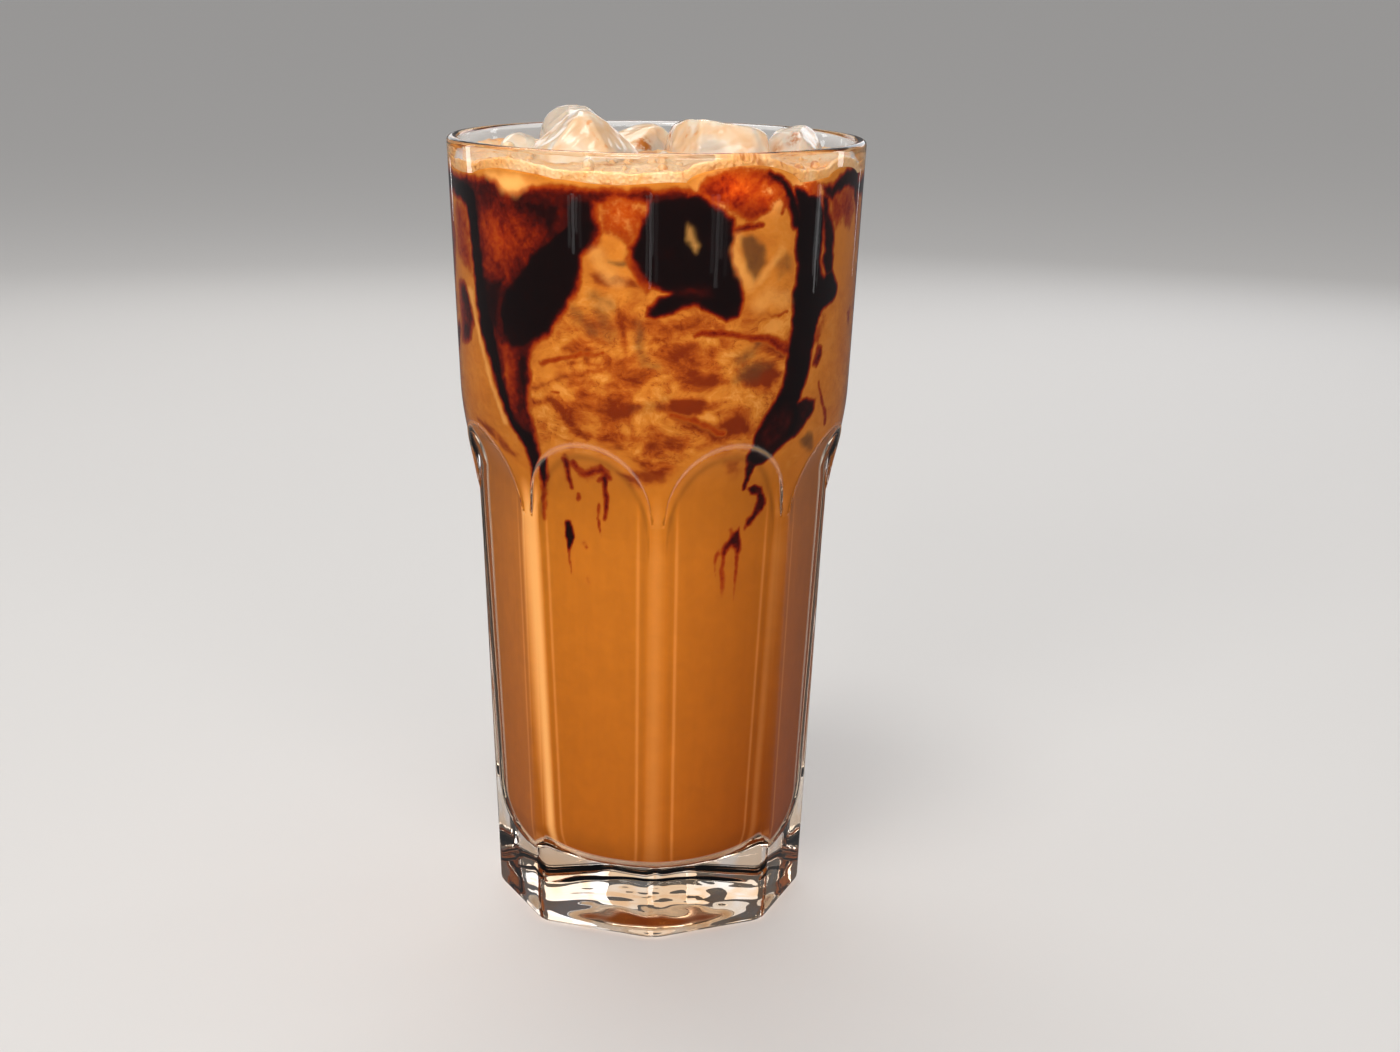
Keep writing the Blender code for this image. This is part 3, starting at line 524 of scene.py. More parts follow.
class Finish:
    """Shader graph of one material, with short names for its usual nodes."""

    def __init__(self, name: str) -> None:
        """Start an empty material with a Principled shader.

        Args:
            name: Name of the material.
        """
        self.material = bpy.data.materials.new(name)
        self.material.use_nodes = True
        self.tree = self.material.node_tree
        self.shader = self.tree.nodes["Principled BSDF"]

    def node(self, kind: str, **values: object) -> bpy.types.Node:
        """New node with its properties set.

        Args:
            kind: Type of the node.
            **values: Properties and their values.

        Returns:
            The node.
        """
        made = self.tree.nodes.new(kind)
        for key, value in values.items():
            setattr(made, key, value)
        return made

    def link(self, source: bpy.types.NodeSocket, target: bpy.types.NodeSocket) -> None:
        """Join two sockets."""
        self.tree.links.new(source, target)

    def feed(self, target: bpy.types.NodeSocket, value: object) -> None:
        """Give a socket a number, a colour or another socket.

        Args:
            target: Input socket.
            value: What goes into it.
        """
        if isinstance(value, bpy.types.NodeSocket):
            self.link(value, target)
            return
        if target.type == "RGBA" and len(value) == 3:
            value = (*value, 1.0)
        target.default_value = value

    def maths(self, operation: str, first: object, second: object = 0.0,
              third: object = 0.0, clamp: bool = False) -> bpy.types.NodeSocket:
        """Math node on numbers or sockets.

        Args:
            operation: Name of the operation.
            first: Number or socket.
            second: Number or socket.
            third: Number or socket.
            clamp: Whether the result stays from 0 to 1.

        Returns:
            The result.
        """
        made = self.node("ShaderNodeMath", operation=operation, use_clamp=clamp)
        for target, value in zip(made.inputs, (first, second, third)):
            self.feed(target, value)
        return made.outputs[0]

    def times(self, first: object, second: object) -> bpy.types.NodeSocket:
        """Product of two numbers or sockets."""
        return self.maths("MULTIPLY", first, second)

    def span(self, value: object, low: float, high: float, to_low: float = 0.0,
             to_high: float = 1.0, eased: bool = True) -> bpy.types.NodeSocket:
        """Map Range node, smoothed and clamped.

        Args:
            value: Number or socket.
            low: Value that gives to_low.
            high: Value that gives to_high.
            to_low: Result at low.
            to_high: Result at high.
            eased: Whether the ends are eased.

        Returns:
            The result.
        """
        kind = "SMOOTHSTEP" if eased else "LINEAR"
        made = self.node("ShaderNodeMapRange", interpolation_type=kind)
        made.clamp = True
        for target, number in zip(made.inputs, (value, low, high, to_low, to_high)):
            self.feed(target, number)
        return made.outputs[0]

    def ramp(self, value: object, stops: tuple[tuple[float, Colour], ...]
             ) -> bpy.types.NodeSocket:
        """Colour ramp from (place, colour) stops.

        Args:
            value: Number or socket.
            stops: Places from 0 to 1 and their colours.

        Returns:
            The colour.
        """
        made = self.node("ShaderNodeValToRGB")
        self.feed(made.inputs[0], value)
        elements = made.color_ramp.elements
        while len(elements) < len(stops):
            elements.new(0.5)
        for element, (place, colour) in zip(elements, stops):
            element.position = place
            element.color = (*colour, 1.0)
        return made.outputs[0]

    def mix(self, share: object, first: object, second: object) -> bpy.types.NodeSocket:
        """Mix of two colours.

        Args:
            share: Share of the second.
            first: Colour or socket.
            second: Colour or socket.

        Returns:
            The colour.
        """
        made = self.node("ShaderNodeMix", data_type="RGBA")
        self.feed(made.inputs["Factor"], share)
        self.feed(made.inputs[6], first)
        self.feed(made.inputs[7], second)
        return made.outputs[2]

    def attribute(self, name: str) -> bpy.types.NodeSocket:
        """Number kept on the mesh."""
        return self.node("ShaderNodeAttribute", attribute_name=name).outputs["Fac"]

    def place(self, scale: Point = (1000.0, 1000.0, 1000.0)) -> bpy.types.NodeSocket:
        """Object coordinates, in millimetres unless stretched.

        Args:
            scale: Factor along each axis, from metres.

        Returns:
            The coordinates.
        """
        coordinates = self.node("ShaderNodeTexCoord")
        mapping = self.node("ShaderNodeMapping")
        mapping.inputs["Scale"].default_value = scale
        self.link(coordinates.outputs["Object"], mapping.inputs["Vector"])
        return mapping.outputs[0]

    def cloud(self, where: bpy.types.NodeSocket, scale: float, detail: float = 3.0,
              distortion: float = 0.0, roughness: float = 0.5) -> bpy.types.NodeSocket:
        """Noise from 0 to 1.

        Args:
            where: Coordinates.
            scale: Scale of the noise.
            detail: Its detail.
            distortion: Its distortion.
            roughness: Its roughness.

        Returns:
            The noise.
        """
        made = self.node("ShaderNodeTexNoise")
        self.link(where, made.inputs["Vector"])
        for key, value in (("Scale", scale), ("Detail", detail), ("Distortion", distortion),
                           ("Roughness", roughness)):
            made.inputs[key].default_value = value
        return made.outputs["Fac"]

    def near(self, where: bpy.types.NodeSocket, spot: Point, radius: float
             ) -> bpy.types.NodeSocket:
        """Number that is 1 at a place and fades to 0 at a radius, in mm.

        Args:
            where: Coordinates.
            spot: The place.
            radius: The radius.

        Returns:
            The number.
        """
        made = self.node("ShaderNodeVectorMath", operation="DISTANCE")
        self.link(where, made.inputs[0])
        made.inputs[1].default_value = spot
        return self.span(made.outputs["Value"], radius, radius / 4)

    def scaled(self, colour: bpy.types.NodeSocket, share: bpy.types.NodeSocket
               ) -> bpy.types.NodeSocket:
        """Colour times a number.

        Args:
            colour: The colour.
            share: The number.

        Returns:
            The product.
        """
        made = self.node("ShaderNodeVectorMath", operation="SCALE")
        self.link(colour, made.inputs[0])
        self.link(share, made.inputs["Scale"])
        return made.outputs[0]

    def bump(self, height: object, distance: float, strength: float = 1.0) -> None:
        """Relief on the Principled shader, distance in metres.

        Args:
            height: Number or socket.
            distance: Depth of the relief.
            strength: Its strength.
        """
        made = self.node("ShaderNodeBump")
        made.inputs["Strength"].default_value = strength
        made.inputs["Distance"].default_value = distance
        self.feed(made.inputs["Height"], height)
        self.link(made.outputs[0], self.shader.inputs["Normal"])

    def surface(self, **values: object) -> None:
        """Set sockets of the Principled shader; underscores stand for spaces.

        Args:
            **values: Numbers, colours or sockets by the socket's name.
        """
        for key, value in values.items():
            self.feed(self.shader.inputs[key.replace("_", " ")], value)


@dataclass(frozen=True)
class ClearGlass:
    """Fire-polished pressed glass, with a painted reflection of the drink low in the base
    and a painted highlight on the arch edges.

    The reflection's heights are in millimetres: none above the first, full below the second.
    """

    tint: Colour = (0.985, 0.992, 0.99)
    roughness: float = 0.0
    ior: float = 1.5
    gloss: float = 0.32
    # Painted highlight: bright cream colour on the arch edges, which lose this share of their
    # clearness.
    painted_edge_highlight: Colour = (1.0, 0.56, 0.22)
    edge_highlight_share: float = 0.30
    # Painted reflection of the drink's amber, in patches low in the base.
    painted_reflection: Colour = (0.90, 0.56, 0.28)
    painted_reflection_from: float = 20.0
    painted_reflection_to: float = 12.0
    painted_reflection_least: float = 0.20
    painted_reflection_more: float = 0.65
    wave_depth: float = 0.00025
    wave_strength: float = 0.35

    def make(self) -> bpy.types.Material:
        """Material with the slight waviness of a pressed wall.

        Returns:
            The material.
        """
        finish = Finish("pressed_glass")
        where = finish.place()
        wave = finish.cloud(where, 0.06, 2.0)
        edge = finish.attribute("edge")
        split = finish.node("ShaderNodeSeparateXYZ")
        finish.link(where, split.inputs[0])
        # Painted reflection: the drink's amber mixed into the glass in patches low in the base.
        patches = finish.span(finish.cloud(where, 0.09, 2.0), 0.42, 0.58)
        low = finish.span(split.outputs["Z"], self.painted_reflection_from, self.painted_reflection_to)
        reflection_share = finish.times(low, finish.maths(
            "MULTIPLY_ADD", patches, self.painted_reflection_more, self.painted_reflection_least))
        colour = finish.mix(reflection_share, self.tint, self.painted_reflection)
        # Painted highlight: along the arch edges the glass is less clear and takes a bright cream
        # colour.
        colour = finish.mix(edge, colour, self.painted_edge_highlight)
        clear = finish.maths("MULTIPLY_ADD", edge, -self.edge_highlight_share, 1.0)
        finish.surface(Base_Color=colour, Roughness=self.roughness, IOR=self.ior,
                       Transmission_Weight=clear, Specular_IOR_Level=self.gloss)
        finish.bump(wave, self.wave_depth, self.wave_strength)
        return finish.material


@dataclass(frozen=True)
class SyrupAndMilk:
    """Milky coffee with syrup running down the wall, with painted light and shade, by the
    numbers kept on the mesh.

    Clouds are given by their scale, detail, distortion and roughness.
    """

    latte: Colour = (0.53, 0.166, 0.0125)
    # Darker end of the tone: painted shade on the right and low down, where it is also deeper
    # coffee.
    deep: Colour = (0.33, 0.070, 0.0030)
    tan: Colour = (0.60, 0.197, 0.022)
    cream: Colour = (0.80, 0.37, 0.085)
    stain: Colour = (0.37, 0.066, 0.004)
    rust: Colour = (0.17, 0.016, 0.001)
    mirror: Colour = (0.95, 0.82, 0.66)
    ice: Colour = (0.105, 0.040, 0.012)
    # Painted highlight colour, taken where the painted light is strongest.
    shine: Colour = (0.90, 0.47, 0.155)
    syrup: tuple[tuple[float, Colour], ...] = (
        (0.00, (0.50, 0.150, 0.016)), (0.14, (0.37, 0.080, 0.0060)),
        (0.28, (0.33, 0.046, 0.0016)), (0.42, (0.25, 0.020, 0.0005)),
        (0.56, (0.130, 0.0060, 0.0004)), (0.70, (0.052, 0.0020, 0.0003)),
        (0.85, (0.015, 0.0008, 0.0003)), (1.00, (0.004, 0.0004, 0.0003)))
    flat: Point = (1000.0, 1000.0, 1400.0)
    upright: Point = (1000.0, 1000.0, 120.0)
    fine: tuple[float, ...] = (0.85, 4.0, 0.3, 0.6)
    ragged: tuple[float, ...] = (0.26, 5.0, 0.5, 0.6)
    drift: tuple[float, float] = (0.085, 2.0)
    curl: Point = (8.0, 8.0, 8.0)
    swirl: tuple[float, ...] = (0.15, 5.0, 0.2, 0.55)
    blots: tuple[float, ...] = (0.45, 7.0, 0.4, 0.68)
    streaks: tuple[float, ...] = (0.55, 3.0, 0.2)
    cloudy: tuple[float, ...] = (0.17, 5.0, 0.8, 0.6)
    blotted: float = 0.38
    opaque: float = 0.92

    def make(self) -> bpy.types.Material:
        """Material of the drink's side.

        Returns:
            The material.
        """
        finish = Finish("coffee_and_syrup")
        where = finish.place()
        flat, upright = finish.place(self.flat), finish.place(self.upright)
        fine, ragged = finish.cloud(where, *self.fine), finish.cloud(where, *self.ragged)
        drift = finish.node("ShaderNodeTexNoise")
        finish.link(flat, drift.inputs["Vector"])
        drift.inputs["Scale"].default_value, drift.inputs["Detail"].default_value = self.drift
        curl = finish.node("ShaderNodeVectorMath", operation="MULTIPLY_ADD")
        finish.link(drift.outputs["Color"], curl.inputs[0])
        curl.inputs[1].default_value = self.curl
        finish.link(flat, curl.inputs[2])
        swirl = finish.cloud(curl.outputs[0], *self.swirl)
        blots = finish.cloud(curl.outputs[0], *self.blots)
        streaks = finish.cloud(upright, *self.streaks)
        # Painted shade: the tone darkens the latte on the right and low down.
        base = finish.ramp(finish.attribute("tone"), ((0.0, self.latte), (1.0, self.deep)))
        base = finish.mix(finish.attribute("milk"), base, self.tan)
        marble, spots = finish.attribute("marble"), finish.attribute("stain")
        level = finish.maths("ADD", finish.times(swirl, 1 - self.blotted),
                             finish.times(blots, self.blotted))
        level = finish.maths("ADD", level, finish.maths("MULTIPLY_ADD", spots, 0.20, 0.020))
        share = finish.maths("MAXIMUM", marble, spots)
        for low, high, colour in ((0.460, 0.620, self.stain), (0.570, 0.730, self.rust)):
            veins = finish.times(finish.span(level, low, high), share)
            base = finish.mix(finish.times(veins, self.opaque), base, colour)
        rim = finish.maths("ABSOLUTE", finish.maths("SUBTRACT", swirl, 0.5))
        thread = finish.times(finish.span(rim, 0.012, 0.0), marble)
        thread = finish.times(thread, finish.span(blots, 0.42, 0.56))
        base = finish.mix(finish.times(thread, 0.55), base, self.rust)
        curds = finish.times(finish.span(level, 0.49, 0.40), marble)
        base = finish.mix(finish.times(curds, 0.45), base, self.cream)
        patchy = finish.maths("MULTIPLY_ADD", ragged, 0.26, 0.87)
        patchy = finish.times(patchy, finish.maths("MULTIPLY_ADD", streaks, 0.14, 0.93))
        base = finish.scaled(base, patchy)
        ice = self.rough_edge(finish, finish.attribute("ice"), ragged, 0.7)
        base = finish.mix(finish.times(ice, self.opaque), base, self.ice)
        thick = self.rough_edge(finish, finish.attribute("syrup"), ragged, 0.34)
        thick = self.rough_edge(finish, thick, fine, 0.22)
        cloudy = finish.maths("MULTIPLY_ADD", finish.cloud(where, *self.cloudy), 0.24, -0.12)
        cloudy = finish.times(cloudy, finish.span(thick, 0.05, 0.4))
        depth = finish.ramp(finish.maths("ADD", thick, cloudy), self.syrup)
        colour = finish.mix(finish.span(thick, 0.03, 0.26), base, depth)
        cream = self.rough_edge(finish, finish.attribute("cream"), ragged, 0.5)
        colour = finish.mix(cream, colour, self.cream)
        # Painted light and shade: the colour is scaled by the painted light and pales to the
        # highlight colour where it is brightest and the syrup is thin.
        painted_light = finish.attribute("painted_light")
        lit = finish.scaled(colour, painted_light)
        painted_highlight = finish.times(finish.span(painted_light, 1.02, 1.9, eased=False),
                             finish.span(thick, 0.30, 0.05))
        pale = finish.mix(finish.times(painted_highlight, 0.80), lit, self.shine)
        facing = finish.node("ShaderNodeLayerWeight")
        facing.inputs["Blend"].default_value = 0.5
        glancing = finish.span(facing.outputs["Facing"], 0.465, 0.56)
        colour = finish.mix(glancing, pale, self.mirror)
        rough = finish.maths("MULTIPLY_ADD", glancing, -0.42, 0.45)
        finish.surface(Base_Color=colour, Roughness=rough, Metallic=glancing,
                       Specular_IOR_Level=0.0)
        return finish.material

    @staticmethod
    def rough_edge(finish: Finish, value: bpy.types.NodeSocket, cloud: bpy.types.NodeSocket,
                   amount: float) -> bpy.types.NodeSocket:
        """Value with noise added where it is neither 0 nor full.

        Args:
            finish: The graph that the nodes go into.
            value: Number from 0 to 1.
            cloud: Noise from 0 to 1.
            amount: Strength of the noise.

        Returns:
            The ragged number.
        """
        mound = finish.times(value, finish.maths("SUBTRACT", 1.0, value))
        push = finish.maths("MULTIPLY_ADD", cloud, 8.0 * amount, -4.0 * amount)
        push = finish.times(mound, push)
        return finish.maths("ADD", value, push, clamp=True)


@dataclass(frozen=True)
class Foam:
    """Pale bubbly foam with traces of syrup."""

    pale: Colour = (0.82, 0.51, 0.25)
    cream: Colour = (0.80, 0.38, 0.11)
    stain: Colour = (0.48, 0.13, 0.012)
    stained: float = 0.75
    scatter: Point = (0.004, 0.002, 0.001)
    patches: tuple[float, ...] = (0.10, 4.0, 0.8)
    specks: tuple[float, ...] = (0.42, 4.0, 0.6)
    cell_scale: float = 1.1
    pools: tuple[tuple[Point, float], ...] = (((-3.0, 10.0, 163.2), 9.0),
                                              ((20.0, -8.0, 163.2), 6.0))

    def make(self) -> bpy.types.Material:
        """Material of the foam.

        Returns:
            The material.
        """
        finish = Finish("milk_foam")
        where = finish.place()
        patches = finish.cloud(where, *self.patches)
        specks = finish.cloud(where, *self.specks)
        colour = finish.mix(finish.span(patches, 0.38, 0.62), self.pale, self.cream)
        pools = finish.maths("MAXIMUM", *(finish.near(where, spot, radius)
                                          for spot, radius in self.pools))
        stained = finish.times(finish.span(specks, 0.54, 0.64), finish.span(patches, 0.46, 0.60))
        stained = finish.maths("MAXIMUM", stained,
                               finish.times(pools, finish.span(specks, 0.40, 0.56)))
        colour = finish.mix(finish.times(stained, self.stained), colour, self.stain)
        cells = finish.node("ShaderNodeTexVoronoi", feature="F1")
        finish.link(where, cells.inputs["Vector"])
        cells.inputs["Scale"].default_value = self.cell_scale
        finish.surface(Base_Color=colour, Roughness=0.35, Specular_IOR_Level=0.4,
                       Subsurface_Weight=0.25, Subsurface_Radius=self.scatter)
        finish.bump(cells.outputs["Distance"], 0.0004, 0.6)
        return finish.material


@dataclass(frozen=True)
class MeltingIce:
    """Wet ice with a film of milk: clear where it is clean, frosted elsewhere.

    The clouds are the patches, the mottle and the grain.
    """

    film: Colour = (0.89, 0.66, 0.44)
    peach: Colour = (0.84, 0.55, 0.31)
    frosty: Colour = (0.93, 0.79, 0.62)
    clear: Colour = (0.94, 0.82, 0.68)
    amber: Colour = (0.80, 0.27, 0.04)
    frost: float = 0.5
    glassy: float = 0.34
    syrupy: Colour = (0.62, 0.21, 0.035)
    scatter: Point = (0.005, 0.0035, 0.0025)
    clouds: tuple[tuple[float, ...], ...] = ((0.12, 2.0, 0.5, 0.5), (0.17, 2.0, 0.5, 0.5),
                                             (0.9, 2.0, 0.3))
    stained: float = 0.7
    least_clear: float = 0.05
    ior: float = 1.31
    water_ior: float = 1.33
    spots: tuple[tuple[float, float, float, float], ...] = ()

    def make(self, name: str) -> bpy.types.Material:
        """Material of one piece of ice.

        Args:
            name: Name of the material.

        Returns:
            The material.
        """
        finish = Finish(name)
        where = finish.place()
        patches, mottle, grain = (finish.cloud(where, *cloud) for cloud in self.clouds)
        colour = finish.mix(finish.span(mottle, 0.42, 0.64), self.film, self.peach)
        colour = finish.mix(finish.span(mottle, 0.46, 0.34), colour, self.frosty)
        stains = finish.times(finish.span(patches, 0.62, 0.68), finish.span(grain, 0.46, 0.60))
        colour = finish.mix(finish.times(stains, self.stained), colour, self.amber)
        share = finish.span(patches, self.frost + 0.12, self.frost - 0.10)
        colour = finish.mix(share, colour, self.clear)
        for spot in self.spots:
            near = finish.near(where, spot[:3], spot[3])
            near = finish.times(near, finish.span(grain, 0.34, 0.56))
            colour = finish.mix(near, colour, self.syrupy)
        see = finish.maths("MULTIPLY_ADD", share, self.glassy, self.least_clear)
        rough = finish.span(mottle, 0.35, 0.65, 0.08, 0.26)
        finish.surface(Base_Color=colour, Roughness=rough, IOR=self.ior,
                       Transmission_Weight=see, Subsurface_Weight=0.35, Subsurface_Scale=0.6,
                       Subsurface_Radius=self.scatter, Coat_Weight=0.8, Coat_Roughness=0.04,
                       Coat_IOR=self.water_ior)
        relief = finish.maths("MULTIPLY_ADD", grain, 0.05, mottle)
        finish.bump(relief, 0.0010, 0.35)
        return finish.material


@dataclass
class Tumbler:
    """The pressed glass, spun from a profile and pressed into panels."""

    form: GlassForm
    panel_steps: int = 26
    land_steps: int = 4
    underside_rows: int = 28
    flat_rows: int = 8
    scoop_rows: int = 22
    shoulder_rows: int = 20
    heel_rows: int = 4
    wall_rows: int = 8
    lip_rows: int = 12
    inner_rows: tuple[int, int, int] = (8, 16, 6)
    bowl_rows: int = 12
    floor_rows: int = 4
    scoop_ease: float = 1.7
    shoulder_ease: float = 1.4
    brow: float = 2 * MM
    # Width and lift of the painted highlight band above the arches.
    edge_width: float = 0.42 * MM
    edge_lift: float = 0.1 * MM
    wave_middle: float = 9 * MM
    wave_top: float = 0.12
    wave_turns: float = 5.5
    wave_pitch: float = 0.16
    wave_least: float = 0.22
    wave_more: float = 0.9
    dimple: float = 0.16

    def columns(self) -> list[tuple[float, float]]:
        """Angles round the glass, each with its offset from the middle of its panel.

        Returns:
            One (angle, offset) for each column.
        """
        pitch = 2 * math.pi / self.form.sides
        half = self.form.panel_half
        found = []
        for side in range(self.form.sides):
            ridge = -math.pi / 2 + self.form.ridge_turn + side * pitch
            middle = ridge + pitch / 2
            for step in range(self.land_steps):
                offset = -pitch / 2 + (pitch / 2 - half) * (2 * step / self.land_steps - 1)
                turned = offset if offset >= -pitch / 2 else offset + pitch
                found.append((middle + offset, turned))
            for step in range(self.panel_steps + 1):
                offset = half * math.sin(math.pi * (step / self.panel_steps - 0.5))
                found.append((middle + offset, offset))
        return found

    def ladder(self, offset: float) -> list[tuple[float, float]]:
        """Rows of (radius, height) from the underside's centre to the hollow's floor.

        Args:
            offset: Angle off the middle of the panel.

        Returns:
            One (radius, height) for each row.
        """
        form = self.form
        rows: list[tuple[float, float]] = []
        foot = form.outer(offset, form.heel)
        for step in range(self.underside_rows):
            radius = (foot - form.heel) * step / self.underside_rows
            share = max(0.0, 1 - (radius / form.punt_radius) ** 2)
            rows.append((radius, form.punt * smooth(share)))
        for step in range(self.heel_rows + 1):
            turn = math.pi / 2 * step / self.heel_rows
            rows.append((foot - form.heel * (1 - math.sin(turn)),
                         form.heel * (1 - math.cos(turn))))
        top = form.arch(offset)
        length = form.scoop_length(offset)
        start = top - length
        heights = [form.heel + (start - form.heel) * step / self.flat_rows
                   for step in range(1, self.flat_rows + 1)]
        heights += [start + length * (1 - (1 - step / self.scoop_rows) ** self.scoop_ease)
                    for step in range(1, self.scoop_rows + 1)]
        brow, lip = form.breast_height + self.brow, form.height - form.lip
        heights += [top + (brow - top) * (step / self.shoulder_rows) ** self.shoulder_ease
                    for step in range(1, self.shoulder_rows + 1)]
        heights += [brow + (lip - brow) * step / self.wall_rows
                    for step in range(1, self.wall_rows + 1)]
        rows += [(form.outer(offset, height), height) for height in heights]
        outside, inside = form.body(lip), form.hollow(lip)
        for step in range(1, self.lip_rows):
            turn = math.pi * step / self.lip_rows
            rows.append(((outside + inside) / 2 + (outside - inside) / 2 * math.cos(turn),
                         lip + form.lip * math.sin(turn)))
        corner = form.floor + form.floor_corner
        ends = (lip, form.hollow_breast_height, form.hollow_waist_height, corner)
        inner = [lip]
        for upper, under, count in zip(ends, ends[1:], self.inner_rows):
            inner += [upper + (under - upper) * step / count for step in range(1, count + 1)]
        rows += [(form.hollow(height), height) for height in inner]
        centre = form.floor_top - form.floor_corner
        for step in range(1, self.bowl_rows + 1):
            turn = math.pi / 2 * step / self.bowl_rows
            rows.append((centre + form.floor_corner * math.cos(turn),
                         form.floor + form.floor_corner * (1 - math.sin(turn))))
        for step in range(1, self.floor_rows + 1):
            rows.append((centre * (1 - step / self.floor_rows), form.floor))
        return rows

    def wave(self, angle: float, height: float, row: int) -> float:
        """Slight unevenness of the pressed outside, strongest in the thick base.

        Args:
            angle: Angle round the glass.
            height: Height above the table.
            row: Row of the profile.

        Returns:
            How far the wall lies inwards.
        """
        low = max(0.0, 1 - abs(height - self.wave_middle) / self.wave_middle)
        if row < self.underside_rows + self.heel_rows + 1 or height > self.wave_top:
            return 0.0
        place = Vector((math.cos(angle) * self.wave_turns, math.sin(angle) * self.wave_turns,
                        height / MM * self.wave_pitch))
        share = self.wave_least + self.wave_more * low
        return share * self.form.waves * abs(noise.noise(place))

    def build(self) -> bpy.types.Object:
        """Make the glass and dress it.

        Returns:
            The piece.
        """
        columns = self.columns()
        ladders = [self.ladder(offset) for _, offset in columns]
        mesh = spun_grid(len(ladders[0]), len(columns))
        bright = mesh.verts.layers.float.new("edge")
        inner = (self.underside_rows + self.heel_rows + 1 + self.flat_rows + self.scoop_rows
                 + self.shoulder_rows)
        for spot in mesh.verts:
            row, column = grid_place(spot, len(columns))
            radius, height = ladders[column][row]
            angle, offset = columns[column]
            # Painted highlight: a bright band just above each arch, fading towards the panel's
            # sides.
            if row <= inner and abs(offset) < self.form.panel_half:
                arch = self.form.arch(offset)
                over = (height - arch - self.edge_lift) / self.edge_width
                fade = 1 - (abs(offset) / self.form.panel_half) ** 6
                spot[bright] = math.exp(-over * over) * fade
            radius -= self.wave(angle, height, row)
            if row < self.underside_rows:
                place = Vector((radius * math.cos(angle), radius * math.sin(angle), 0)) / MM
                height *= 1 + self.dimple * noise.noise(place * self.wave_pitch)
            spot.co = (radius * math.cos(angle), radius * math.sin(angle), height)
        piece = settle(mesh, "tumbler")
        piece.data.materials.append(ClearGlass().make())
        piece.visible_shadow = False
        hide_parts("glass")
        return piece


